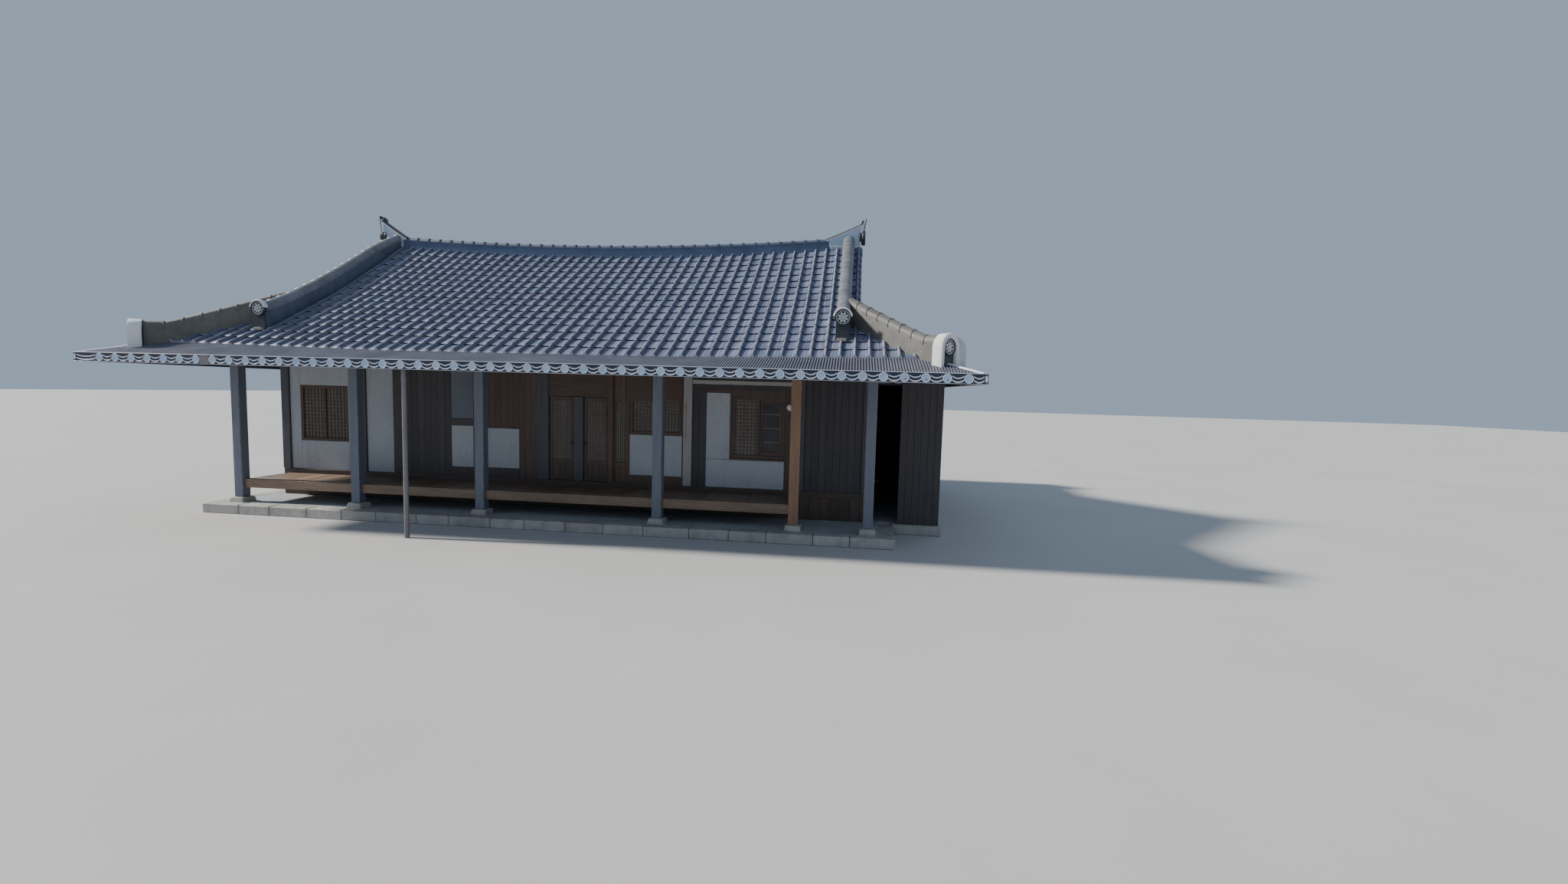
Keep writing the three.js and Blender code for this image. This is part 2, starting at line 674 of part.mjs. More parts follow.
// Eave strip and gutter: a profile of [out, z] points swept along one side with mitred ends
function mitredRun (points, halfAlong, halfAcross, gap) {
  const ring = (end) => points.map(([out, z]) =>
    new THREE.Vector3(end * (halfAlong + out - gap), -(halfAcross + out), z))
  return loft([ring(-1), ring(1)], points)
}

function stripTop (out) {
  return STRIP.top - STRIP.drop * out / STRIP.run
}

function eave (halfAlong, halfAcross) {
  const strip = [
    [GAP, stripTop(0)], [GAP, stripTop(0) - STRIP.thick],
    [STRIP.run, stripTop(STRIP.run) - STRIP.thick], [STRIP.run, stripTop(STRIP.run)]
  ]
  const { out, deep, low, top, sheet } = GUTTER
  const back = out - deep
  const lip = stripTop(back) - STRIP.thick / 2
  const channel = [
    [out, low], [out, top], [out - sheet, top], [out - sheet, low + sheet],
    [back + sheet, low + sheet], [back + sheet, lip], [back, lip], [back, low]
  ]
  return join([strip, channel].map((points) => mitredRun(points, halfAlong, halfAcross, GAP)))
}

function buildEaves () {
  const long = eave(TILE_X, TILE_Y)
  const short = eave(TILE_Y, TILE_X)
  add('front_gutter', long, 'gutter')
  add('back_gutter', long.clone().rotateZ(Math.PI), 'gutter')
  add('right_gutter', short.clone().rotateZ(Math.PI / 2), 'gutter')
  add('left_gutter', short.rotateZ(-Math.PI / 2), 'gutter')
  const pipe = new THREE.CylinderGeometry(DOWNPIPE.radius, DOWNPIPE.radius, GUTTER.low - GAP, 10)
  pipe.rotateX(Math.PI / 2)
  pipe.translate(DOWNPIPE.x, -(TILE_Y + GUTTER.out - GUTTER.deep / 2), (GUTTER.low - GAP) / 2)
  add('downpipe', pipe, 'post')
}

// Everything under the roof's top surfaces, to seat the ridges on them
function roofBeds () {
  const low = () => BED_LOW
  const front = slab(slopeGrid(1), (x, y) => mainTop(x, y) + GAP, low)
  const side = slab(skirtGrid(1), (x) => sideTop(x) + GAP, low)
  const strip = [[-1, stripTop(-1) + GAP], [-1, BED_LOW], [STRIP.run, BED_LOW], [STRIP.run, stripTop(STRIP.run) + GAP]]
  return {
    slopes: [front, mirrored(front, 1, -1)],
    corner: [front, side, mitredRun(strip, TILE_X, TILE_Y, -1),
      mitredRun(strip, TILE_Y, TILE_X, -1).rotateZ(Math.PI / 2)]
  }
}

// An upright cross-section with a round head, drawn from its left foot round to its right foot
function roundHead (half, base, top) {
  const steps = 6
  const points = [[-half, base]]
  for (let i = 0; i <= steps; i++) {
    const a = Math.PI - Math.PI * i / steps
    points.push([half * Math.cos(a), top - half + half * Math.sin(a)])
  }
  points.push([half, base])
  return points
}

// A ridge through round-headed sections of one width
function ridge (rings, half) {
  return loft(rings, roundHead(half, 0, 2 * half))
}

function buildMainRidge (beds) {
  const stations = 12
  const rings = Array.from({ length: stations + 1 }, (_, i) => {
    const x = (RIDGE.endX - GAP) * (2 * i / stations - 1)
    const u = x / RIDGE.endX
    const top = RIDGE.topMiddle + (RIDGE.topEnd - RIDGE.topMiddle) * u * u
    return roundHead(RIDGE.half, mainTop(x, RIDGE.half) - 100, top).map(([y, z]) => new THREE.Vector3(x, y, z))
  })
  add('main_ridge', cut(ridge(rings, RIDGE.half), beds), 'ridge')
}

// Upturned end of the main ridge, with a round tile facing out under its tip
function ridgeEnd (beds) {
  const x0 = RIDGE.endX
  const base = mainTop(GABLE_X, RIDGE.half) - 100
  const outline = [
    [x0, base], [VERGE_X - 10, base], [VERGE_X + 20, 5010],
    [RIDGE_TIP.x, RIDGE_TIP.z], [RIDGE_TIP.x - 45, RIDGE_TIP.z - 5]
  ]
  const steps = 7
  const reach = RIDGE_TIP.x - 60 - x0
  const climb = RIDGE_TIP.z - 40 - RIDGE.topEnd
  for (let i = 1; i <= steps; i++) {
    const t = 1 - i / steps
    outline.push([x0 + reach * t, RIDGE.topEnd + climb * Math.pow(t, 1.5)])
  }
  const { radius, long, z } = RIDGE_DRUM
  const drum = new THREE.CylinderGeometry(radius, radius, long, 16)
  drum.rotateZ(Math.PI / 2)
  drum.translate(VERGE_X + 10, 0, z)
  return cut(join([upright(outline, -RIDGE.endHalf, RIDGE.endHalf), drum]), beds)
}

// Descending ridge along the verge, closed by a round end tile
function descendingRidge () {
  const { half, height, lift, y1 } = DESCEND
  const y0 = RIDGE.endHalf + GAP
  const stations = 9
  const rings = Array.from({ length: stations + 1 }, (_, i) => {
    const t = i / stations
    const y = -(y0 + (y1 - y0) * t)
    const surface = mainTop(GABLE_X, y)
    const section = roundHead(half, surface - 100, surface + height + lift * Math.pow(t, 5))
    return section.map(([x, z]) => new THREE.Vector3(GABLE_X + x, y, z))
  })
  const disc = new THREE.CylinderGeometry(DESCEND.discRadius, DESCEND.discRadius, DESCEND.discLong, 16)
  disc.translate(GABLE_X, -(y1 + 20), mainTop(GABLE_X, y1) + DESCEND.discRise)
  return [ridge(rings, half), disc]
}

// Hip ridge along the 45 degree hip, starting inside the descending ridge
function hipRidge () {
  const { half, startHeight, endHeight, endX } = HIP
  const start = GABLE_X + DESCEND.half - 20
  const rings = [start, VERGE_X, 5000, 5200, 5400, 5600, TILE_X, endX + 10].map((x, k) => {
    const t = (x - start) / (endX - start)
    const surface = x < TILE_X ? sideTop(x) : EDGE_Z
    const top = surface + startHeight + (endHeight - startHeight) * t
    return roundHead(half, BED_LOW + 50, top).map(([w, z]) => {
      const across = k === 0 ? 0 : w * Math.SQRT1_2
      const along = k === 0 ? w / Math.SQRT1_2 : w * Math.SQRT1_2
      return new THREE.Vector3(x + across, HIP_OFFSET - x + along, z)
    })
  })
  return ridge(rings, half)
}

// Arched block that closes the hip, with a lower shoulder on its outer side and a round tile
function hipBlock () {
  const { half, thick, spring, wing, wingTop, discRadius, discZ } = HIP_BLOCK
  const outline = [[-half, BED_LOW + 50], [wing, BED_LOW + 50], [wing, wingTop], [wing - 170, wingTop + 100]]
  const steps = 10
  const first = 0.17
  for (let i = 1; i <= steps; i++) {
    const a = Math.PI * (first + (1 - first) * i / steps)
    outline.push([half * Math.cos(a), spring + half * Math.sin(a)])
  }
  const disc = new THREE.CylinderGeometry(discRadius, discRadius, 60, 16)
  disc.translate(0, -thick - 10, discZ)
  const whole = join([upright(outline, -thick, 0), disc])
  whole.rotateZ(Math.PI / 4)
  whole.translate(HIP.endX, HIP_OFFSET - HIP.endX, 0)
  return whole
}

// Gable wall, standing on the tucked part of the skirt and reaching up to the main slopes
function gableWall () {
  const { x, thick, foot, half, top } = GABLE_WALL
  const g = upright([[-half, foot], [half, foot], [half, foot + 90], [0, top], [-half, foot + 90]], x, x + thick)
  g.rotateZ(-Math.PI / 2)
  const above = slab(slopeGrid(1), () => 2 * UNDER.ridge, (px, py) => mainUnder(px, py) - GAP)
  const below = slab(tuckGrid(), (px, py) => tuckTop(px, py) + GAP, () => BED_LOW)
  return cut(g, [above, mirrored(above, 1, -1), below])
}

const CORNERS = [['front_right', 1, 1], ['front_left', -1, 1], ['back_right', 1, -1], ['back_left', -1, -1]]

function buildRoof () {
  const front = slab(slopeGrid(0), mainTop, mainUnder)
  const side = skirt()
  const mainRolls = rollRows(TILE_X, TILE_Y, mainTop, mainSpans)
  const sideRolls = rollRows(TILE_Y, TILE_X, (a, y) => sideTop(y), skirtSpans)
  add('front_roof', tiled(front, mainRolls, 0), 'tile')
  add('back_roof', tiled(mirrored(front, 1, -1), mainRolls, 2), 'tile')
  add('right_skirt', tiled(side, sideRolls, 1), 'tile')
  add('left_skirt', tiled(mirrored(side, -1, 1), sideRolls, 3), 'tile')

  const gable = gableWall()
  add('right_gable', gable, 'wood')
  add('left_gable', mirrored(gable, -1, 1), 'wood')

  const beds = roofBeds()
  buildMainRidge(beds.slopes)
  const end = ridgeEnd(beds.slopes)
  add('right_ridge_end', end, 'white')
  add('left_ridge_end', mirrored(end, -1, 1), 'white')
  const ridges = cut(join([...descendingRidge(), hipRidge(), hipBlock()]), beds.corner)
  for (const [name, sx, sy] of CORNERS) add(`${name}_ridges`, mirrored(ridges, sx, sy), 'ridge')
}

buildPlinth()
buildFloor()
buildVeranda()
buildFrontFrame()
buildFrontWall()
buildUpperWall()
buildDoors()
buildBackWall()
buildSideWalls()
buildStore()
buildRafters()
buildEaves()
buildRoof()

export default house
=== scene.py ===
"""A hanok house dressed around its frame: tiles, ridges, eaves, walls and doors. Metres, +Z up."""

import math
import random

import bpy
import numpy as np
from mathutils import Matrix, Vector


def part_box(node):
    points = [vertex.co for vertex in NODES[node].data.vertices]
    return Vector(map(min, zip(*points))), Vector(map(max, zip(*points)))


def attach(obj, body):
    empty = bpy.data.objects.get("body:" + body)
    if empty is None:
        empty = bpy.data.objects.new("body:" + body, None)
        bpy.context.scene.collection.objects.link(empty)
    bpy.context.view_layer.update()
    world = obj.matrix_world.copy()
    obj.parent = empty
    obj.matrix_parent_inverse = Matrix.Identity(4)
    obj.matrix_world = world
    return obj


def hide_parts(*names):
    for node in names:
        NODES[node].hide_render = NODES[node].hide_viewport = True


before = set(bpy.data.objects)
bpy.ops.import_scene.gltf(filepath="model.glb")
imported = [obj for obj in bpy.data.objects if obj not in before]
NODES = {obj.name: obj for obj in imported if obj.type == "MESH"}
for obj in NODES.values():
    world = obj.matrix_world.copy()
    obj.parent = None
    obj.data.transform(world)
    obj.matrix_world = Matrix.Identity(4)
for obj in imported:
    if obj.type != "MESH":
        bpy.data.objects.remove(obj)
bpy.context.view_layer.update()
dice = random.Random(11)

# Roof, the same curves as the frame's
TILE_X = 5.744
TILE_Y = 3.589
EDGE_Z = 2.59
RISE = 2.35
PROFILE_LINEAR = 0.834
RIDGE_SAG = 0.2
GABLE_X = 4.6
VERGE_X = 4.85
HIP_OFFSET = TILE_X - TILE_Y
# Name, half length along the edge and distance of the edge, in the order of the quarter turns
SIDES = [("front", TILE_X, TILE_Y), ("right", TILE_Y, TILE_X),
         ("back", TILE_X, TILE_Y), ("left", TILE_Y, TILE_X)]

# Tiles: one flat pan and one narrow roll each, lapped from the eave upwards
TILE_PITCH = 0.2
TILE_EXPOSURE = 0.258
TILE_THICK = 0.017
TILE_OVERHANG = 0.018
TILE_LIFT = 0.03
TILE_SKIRT = 0.045
ROLL_AT = 0.825
ROLL_FROM = 0.69
ROLL_STEP = 0.4
ROLL_ANCHOR = 4.388
# Share of the pitch and height
TILE_SECTION = [
    (0.0, 0.0), (0.03, 0.002), (0.06, -0.002), (0.22, -0.004), (0.4, -0.005), (0.56, -0.003), (0.66, 0.002),
    (0.69, 0.005), (0.705, 0.019), (0.735, 0.032), (0.78, 0.04), (0.825, 0.042), (0.87, 0.039), (0.91, 0.03),
    (0.94, 0.016), (0.955, 0.002)
]
# Largest random lift, slip, tone and tint of a tile
TILE_CHANCE = (0.0018, 0.0035, 1, 1)

# The tile edge rises gently towards each corner
CORNER_RAISE = 0.062
RAISE_ALONG = 3.7
RAISE_UP = 1.8

# Main ridge
RIDGE_RIGHT = 4.17
RIDGE_LEFT = 4.39
RIDGE_Z = 4.96
RIDGE_RISE = 0.145
RIDGE_RISE_AT = 4.33
END_HALF = 0.079
END_BORDER = 0.026
# The cap of a ridge end as (side, up), its two round tiles as (radius, along)
END_LID = [(-0.098, -0.008), (-0.094, 0.008), (-0.05, 0.02), (0.05, 0.02), (0.094, 0.008), (0.098, -0.008)]
TIP_TILE = [(0, 0), (0.058, 0), (0.064, 0.008), (0.064, 0.034), (0.056, 0.044), (0.046, 0.044),
            (0.042, 0.036), (0, 0.036)]
END_TILE = [(0, 0), (0.12, 0), (0.12, 0.05), (0.13, 0.06), (0.132, 0.1), (0.124, 0.108), (0.113, 0.106),
            (0.109, 0.096), (0, 0.096)]

# Eave strip and gutter, measured outwards from the tile edge
STRIP_RUN = 0.64
STRIP_TOP = 2.588
STRIP_DROP = 0.14
STRIP_LIFT = 0.014
STRIP_THICK = 0.024
RIB_PITCH = 0.2592 / 7
RIB_HEIGHT = 0.015
GUTTER_OUT = 0.68
GUTTER_BACK = 0.56
GUTTER_LOW = 2.33
GUTTER_TOP = 2.46
DISC_PITCH = 0.2592
DISC_INSET = 0.236
DISC_RADIUS = 0.057
DISC_Z = 2.395

# Walls, from the frame; LOW and TOP leave a hair's gap to the sill and the beam
FRONT = -2.3
PANEL_FACE = FRONT + 0.018
POST_FACE = FRONT - 0.014
WALL_BACK = FRONT + 0.12
FILL_BACK = WALL_BACK - 0.01
WALL_X = 5.1
BACK = 2.7
SILL_TOP = 0.6
LOW = SILL_TOP + 0.0003
TOP = 2.3697
PLINTH_TOP = 0.15
SIDE_TIMBERS = ((0.45, 0.58), (2.37, 2.5))

# Windows and doors
WINDOW_Y = PANEL_FACE + 0.006
SASH = 0.045
SASH_DEEP = 0.058
HINGE_Y = FRONT - 0.005
HINGE_ZS = (0.8, 1.7)
HINGE_HALF = 0.0353


# Gathering small solids into one mesh
class Shape:
    """Vertices and faces of many small solids, each face with a finish, a tone and an edge mark."""

    def __init__(self):
        self.verts = []
        self.faces = []
        self.finishes = []
        self.tones = []
        self.edges = []

    def add(self, verts, faces, finish, tone=None, edges=None):
        base = len(self.verts)
        tone = dice.uniform(-1, 1) if tone is None else tone
        self.verts += [tuple(v) for v in verts]
        self.faces += [[base + i for i in face] for face in faces]
        self.finishes += [finish] * len(faces)
        self.tones += [tone] * len(faces)
        self.edges += edges or [0.0] * len(faces)

    def placed(self, rule, flip=False):
        """A copy whose vertices follow a rule; flip turns its faces over, as a mirroring rule needs."""
        copy = Shape()
        copy.verts = [tuple(rule(*v)) for v in self.verts]
        copy.faces = [face[::-1] if flip else face for face in self.faces]
        copy.finishes, copy.tones, copy.edges = self.finishes, self.tones, self.edges
        return copy

    def quarter_turned(self, turns):
        matrix = Matrix.Rotation(turns * math.pi / 2, 4, "Z")
        return self.placed(lambda *v: matrix @ Vector(v))


CORNERS = [(x, y, z) for x in (0, 1) for y in (0, 1) for z in (0, 1)]


def block_template():
    """Faces of a chamfered box whose corners hold three vertices each, and a mark for each face."""
    def at(axis, sides, towards):
        """One corner's vertex that faces an axis; sides are given from the first axis on."""
        return CORNERS.index(tuple(sides[(k - axis) % 3] for k in range(3))) * 3 + towards

    flats = []
    bevels = []
    for axis in range(3):
        b, c = (axis + 1) % 3, (axis + 2) % 3
        for side in (0, 1):
            ring = [at(axis, (side, vb, vc), axis) for vb, vc in ((0, 0), (1, 0), (1, 1), (0, 1))]
            flats.append(ring if side else ring[::-1])
        for vb, vc in ((0, 0), (0, 1), (1, 0), (1, 1)):
            ring = [at(axis, (va, vb, vc), k) for va, k in ((0, b), (0, c), (1, c), (1, b))]
            bevels.append(ring if vb == vc else ring[::-1])
    for index, corner in enumerate(CORNERS):
        ring = [index * 3 + k for k in range(3)]
        bevels.append(ring if sum(corner) % 2 else ring[::-1])
    return flats + bevels, [0.0] * len(flats) + [1.0] * len(bevels)


BLOCK_FACES, BLOCK_MARKS = block_template()


def block(shape, x0, x1, y0, y1, z0, z1, finish, tone=None, chamfer=0.004):
    """A box with chamfered edges."""
    ends = ((x0, x1), (y0, y1), (z0, z1))
    c = min([chamfer] + [0.3 * (b - a) for a, b in ends])
    verts = []
    for sides in CORNERS:
        corner = [pair[s] for pair, s in zip(ends, sides)]
        inset = [v + (-c if s else c) for v, s in zip(corner, sides)]
        verts += [[corner[k] if k == axis else inset[k] for k in range(3)] for axis in range(3)]
    shape.add(verts, BLOCK_FACES, finish, tone, BLOCK_MARKS)


def loft(shape, rings, finish, tone=None, closed=True, ends=True):
    """Quads between rings of equal length, with flat ends."""
    n = len(rings[0])
    faces = []
    for r in range(len(rings) - 1):
        for i in range(n if closed else n - 1):
            j = (i + 1) % n
            faces.append([r * n + i, r * n + j, (r + 1) * n + j, (r + 1) * n + i])
    if ends:
        faces.append([n - 1 - i for i in range(n)])
        faces.append([(len(rings) - 1) * n + i for i in range(n)])
    shape.add([v for ring in rings for v in ring], faces, finish, tone)


def arc(steps, start=0.0, turn=2 * math.pi):
    """Cosine and sine at each step of a turn, with both ends."""
    angles = [start + turn * k / steps for k in range(steps + 1)]
    return [(math.cos(a), math.sin(a)) for a in angles]


def turned(shape, profile, centre, axis, sides, finish, tone=0.0):
    """A profile of (radius, along) points turned about an axis through centre; radius 0 closes it."""
    axis = Vector(axis).normalized()
    u = axis.orthogonal().normalized()
    w = axis.cross(u)
    verts = []
    rows = []
    for radius, along in profile:
        middle = Vector(centre) + axis * along
        ring = [middle + (u * c + w * s) * radius for c, s in arc(sides)[:-1]] if radius else [middle]
        rows.append(range(len(verts), len(verts) + len(ring)))
        verts += ring
    faces = []
    for low, high in zip(rows, rows[1:]):
        for k in range(sides):
            m = (k + 1) % sides
            face = [low[k], low[m]] if len(low) > 1 else [low[0]]
            face += [high[m], high[k]] if len(high) > 1 else [high[0]]
            if len(face) > 2:
                faces.append(face)
    shape.add(verts, faces, finish, tone)


def make_mesh(name, verts, faces, finishes, marks, sharp):
    """A smooth mesh with its materials, its face marks and edges that are sharp past an angle in degrees."""
    mesh = bpy.data.meshes.new(name)
    mesh.from_pydata(verts, [], faces)
    for finish in finishes:
        mesh.materials.append(FINISHES[finish])
    for title, values in marks.items():
        mesh.attributes.new(title, "FLOAT", "FACE").data.foreach_set("value", values)
    mesh.polygons.foreach_set("use_smooth", [True] * len(mesh.polygons))
    mesh.set_sharp_from_angle(angle=math.radians(sharp))
    return mesh


def settle(mesh, slot, body="house", replaces=()):
    """Makes the object and ties it to its body."""
    mesh.update()
    obj = bpy.data.objects.new(mesh.name, mesh)
    bpy.context.scene.collection.objects.link(obj)
    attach(obj, body)
    if replaces:
        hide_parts(*replaces)


def piece(name, shape, slot, body="house", sharp=34, replaces=()):
    used = list(dict.fromkeys(shape.finishes))
    mesh = make_mesh(name, shape.verts, shape.faces, used, {"tone": shape.tones, "edge": shape.edges}, sharp)
    mesh.polygons.foreach_set("material_index", [used.index(finish) for finish in shape.finishes])
    settle(mesh, slot, body, replaces)


# Materials
FINISHES = {}


class Finish:
    """A material built from nodes around one Principled shader; its name stands for it elsewhere."""

    def __init__(self, name, metallic=0.0, roughness=0.6, specular=0.5):
        self.name = name
        self.normal = None
        FINISHES[name] = bpy.data.materials.new(name)
        FINISHES[name].use_nodes = True
        self.tree = FINISHES[name].node_tree
        self.tree.nodes.clear()
        self.shader = self.node("BsdfPrincipled", {
            "Metallic": metallic, "Roughness": roughness, "Specular IOR Level": specular})
        self.node("OutputMaterial", {0: self.shader.outputs[0]})

    def node(self, kind, inputs, **settings):
        """Adds a node; each input is a number, a vector, a colour or another node's output."""
        node = self.tree.nodes.new("ShaderNode" + kind)
        for key, value in settings.items():
            setattr(node, key, value)
        for key, value in inputs.items():
            self.put(node.inputs[key], value)
        return node

    def put(self, socket, value):
        if isinstance(value, bpy.types.NodeSocket):
            self.tree.links.new(value, socket)
        else:
            socket.default_value = (*value, 1) if socket.type == "RGBA" else value

    def place(self, scale=(1, 1, 1), turn=(0, 0, 0), source="Object"):
        where = self.node("TexCoord", {}).outputs[source]
        return self.node("Mapping", {"Vector": where, "Scale": scale, "Rotation": turn}).outputs[0]

    def noise(self, vector, scale, detail=4.0, roughness=0.55, distortion=0.0):
        return self.node("TexNoise", {"Vector": vector, "Scale": scale, "Detail": detail,
                                      "Roughness": roughness, "Distortion": distortion}).outputs[0]

    def attribute(self, name):
        return self.node("Attribute", {}, attribute_name=name).outputs["Fac"]

    def math(self, operation, a, b):
        return self.node("Math", {0: a, 1: b}, operation=operation).outputs[0]

    def span(self, value, low, high, to_low=0.0, to_high=1.0):
        return self.node("MapRange", {"Value": value, "From Min": low, "From Max": high,
                                      "To Min": to_low, "To Max": to_high}).outputs[0]

    def ramp(self, value, stops):
        node = self.node("ValToRGB", {0: value})
        elements = node.color_ramp.elements
        while len(elements) < len(stops):
            elements.new(0.5)
        for element, (position, colour) in zip(elements, stops):
            element.position = position
            element.color = (*colour, 1)
        return node.outputs[0]

    def mix(self, factor, a, b, blend="MIX"):
        inputs = {0: factor, 6: a, 7: b}
        return self.node("Mix", inputs, data_type="RGBA", blend_type=blend, clamp_factor=True).outputs[2]

    def layer(self, base, over, value, low, high, most=1.0):
        """Lays a colour over another as a value goes from low to high, up to a share."""
        return self.mix(self.span(value, low, high, 0, most), base, over)

    def toned(self, base, over, most):
        return self.layer(base, over, self.attribute("tone"), -1, 1, most)

    def bump(self, height, distance):
        inputs = {"Distance": distance, "Height": height}
        if self.normal is not None:
            inputs["Normal"] = self.normal
        self.normal = self.node("Bump", inputs).outputs[0]

    def done(self, colour, roughness=None):
        for title, value in (("Base Color", colour), ("Roughness", roughness), ("Normal", self.normal)):
            if value is not None:
                self.put(self.shader.inputs[title], value)
        return self.name


def grey(value):
    return (value, value, value)


def shaded(colour, factor, plus=0.0):
    return tuple(min(1.0, c * factor + plus) for c in colour)


def mineral(name, colour, spread=0.25, grain=60.0, patches=1.6, rough=(0.75, 0.95), relief=0.002, stain=None):
    """Plaster, mortar, stone or fired clay: soft patches, fine grain, tone per piece and stains."""
    m = Finish(name)
    where = m.place()
    large = m.noise(where, patches, 5.0, 0.6)
    fine = m.noise(where, grain, 3.0, 0.6)
    dark, light = shaded(colour, 1 - spread), shaded(colour, 1 + spread * 0.6)
    base = m.ramp(large, [(0.3, dark), (0.5, colour), (0.72, light)])
    grained = m.mix(0.22, base, m.ramp(fine, [(0.3, grey(0.25)), (0.7, grey(0.85))]), "OVERLAY")
    toned = m.toned(grained, shaded(colour, 0.55), 0.3)
    if stain:
        run = m.noise(m.place((3.0, 3.0, 0.35)), 2.2, 6.0, 0.65)
        toned = m.layer(toned, stain, run, 0.5, 0.75, 0.55)
    m.bump(m.noise(where, grain * 0.5, 5.0, 0.65), relief)
    m.bump(large, relief * 3)
    return m.done(toned, m.span(fine, 0.2, 0.8, *rough))


def timber(name, colour, axis, contrast=0.45, paint=None, bare=0.35, rough=(0.5, 0.8)):
    """Boards and posts: grain along an axis, tone per board, lighter worn edges, and worn paint if given."""
    m = Finish(name)

    def along(times_long, times_across):
        return m.place(tuple(1.6 * times_long if letter == axis else 26.0 * times_across for letter in "XYZ"))

    rings = m.noise(along(1, 1), 1.0, 6.0, 0.62, 0.6)
    fibre = m.noise(along(3, 7), 1.0, 3.0, 0.6)
    patches = m.noise(m.place(), 1.1, 4.0, 0.6)
    dark, light = shaded(colour, 1 - contrast), shaded(colour, 1 + contrast)
    grain = m.ramp(rings, [(0.28, dark), (0.5, colour), (0.74, light)])
    grained = m.mix(0.35, grain, m.ramp(fibre, [(0.3, grey(0.2)), (0.7, grey(0.8))]), "OVERLAY")
    weathered = m.layer(grained, shaded(colour, 0.5), patches, 0.42, 0.75, 0.5)
    toned = m.toned(weathered, shaded(colour, 0.42), 0.45)
    if paint:
        flakes = m.noise(along(0.35, 0.35), 1.0, 7.0, 0.7)
        cover = m.math("ADD", flakes, m.math("MULTIPLY", m.attribute("edge"), -0.12))
        coat = m.layer(paint, shaded(paint, 0.72), rings, 0.3, 0.8, 0.5)
        toned = m.layer(toned, coat, cover, bare, bare + 0.06)
    rub = m.math("MULTIPLY", m.attribute("edge"), m.span(m.noise(m.place(), 14.0), 0.35, 0.7))
    worn = m.mix(m.math("MULTIPLY", rub, 0.5), toned, shaded(paint or colour, 2.1, 0.03))
    m.bump(rings, 0.0012)
    m.bump(fibre, 0.0006)
    return m.done(worn, m.span(rings, 0.3, 0.7, *rough))


def tile_finish():
    """Glazed clay tile: streaks down the slope, tone and tint for each tile, painted shade in the laps and on
    the rolls' right halves, rolls painted lighter as if sunlit, a painted highlight on the bottom course's
    fronts, glossier rolls.
    """
    m = Finish("tile_clay", roughness=0.45)
    streaks = m.noise(m.place((46.0, 1.2, 1.0), source="UV"), 1.0, 3.0, 0.6, 0.2)
    dirt = m.noise(m.place(), 3.1, 6.0, 0.65)
    speckle = m.noise(m.place(), 90.0, 2.0)
    # This face mark carries painted light: shade on the risers and the rolls' right halves, light on the
    # rolls and the bottom course's fronts.
    lap = m.attribute("lap")
    base = m.ramp(streaks, [
        (0.36, (0.065, 0.08, 0.14)), (0.5, (0.145, 0.172, 0.27)), (0.63, (0.31, 0.35, 0.5))])
    tint = m.ramp(m.span(m.attribute("tint"), -1, 1), [
        (0.0, (0.13, 0.19, 0.24)), (0.35, (0.135, 0.165, 0.26)),
        (0.7, (0.16, 0.165, 0.28)), (1.0, (0.22, 0.2, 0.28))])
    toned = m.toned(m.mix(0.38, base, tint), (0.05, 0.062, 0.11), 0.42)
    dusty = m.layer(toned, (0.19, 0.2, 0.24), dirt, 0.52, 0.8, 0.35)
    flecked = m.layer(dusty, (0.27, 0.3, 0.4), speckle, 0.62, 0.75, 0.3)
    # Painted highlight: rolls are painted lighter, standing in for their sunlit sides.
    lighter_rolls = m.layer(flecked, (0.27, 0.3, 0.39), lap, 0.2, 0.5, 0.55)
    # Painted highlight: the bottom course's front faces are painted pale, as if lit.
    bright_fronts = m.layer(lighter_rolls, (0.62, 0.62, 0.66), lap, -0.2, -1.0)
    # Painted shade: the risers between courses and the rolls' right halves are darkened.
    painted_shade = m.layer(bright_fronts, (0.02, 0.022, 0.034), lap, 0.6, 1.0)
    m.bump(streaks, 0.005)
    m.bump(speckle, 0.0006)
    dull = m.span(streaks, 0.25, 0.75, 0.42, 0.6)
    return m.done(painted_shade, m.math("SUBTRACT", dull, m.span(lap, 0.2, 0.5, 0, 0.12)))


def sheet_metal(name, colour, rough=(0.3, 0.5), metallic=0.0, wear=(0.4, 0.4, 0.42)):
    """Painted pressed sheet: faint orange peel, dust, scratches and chipped edges."""
    m = Finish(name, metallic=metallic)
    where = m.place()
    cloud = m.noise(where, 2.4, 5.0, 0.6)
    scratch = m.noise(m.place((2.0, 2.0, 60.0), (0, 0.35, 0)), 1.0, 2.0, 0.4)
    dusty = m.layer(colour, shaded(colour, 1.6, 0.02), cloud, 0.35, 0.75, 0.55)
    marked = m.layer(m.toned(dusty, shaded(colour, 0.6), 0.3), wear, scratch, 0.66, 0.75, 0.35)
    m.bump(m.noise(where, 140.0, 2.0), 0.0004)
    return m.done(marked, m.span(cloud, 0.3, 0.7, *rough))


def paper_finish():
    """Mulberry paper painted dark for the shade of the room behind, with long fibres."""
    m = Finish("paper", roughness=0.9)
    fibres = m.noise(m.place((9.0, 9.0, 60.0), (0, 0.6, 0)), 3.0, 6.0, 0.7)
    base = m.ramp(fibres, [(0.3, (0.12, 0.11, 0.1)), (0.7, (0.19, 0.175, 0.155))])
    m.bump(fibres, 0.0005)
    return m.done(m.layer(base, (0.1, 0.085, 0.07), m.noise(m.place(), 2.0, 4.0), 0.4, 0.8, 0.4))


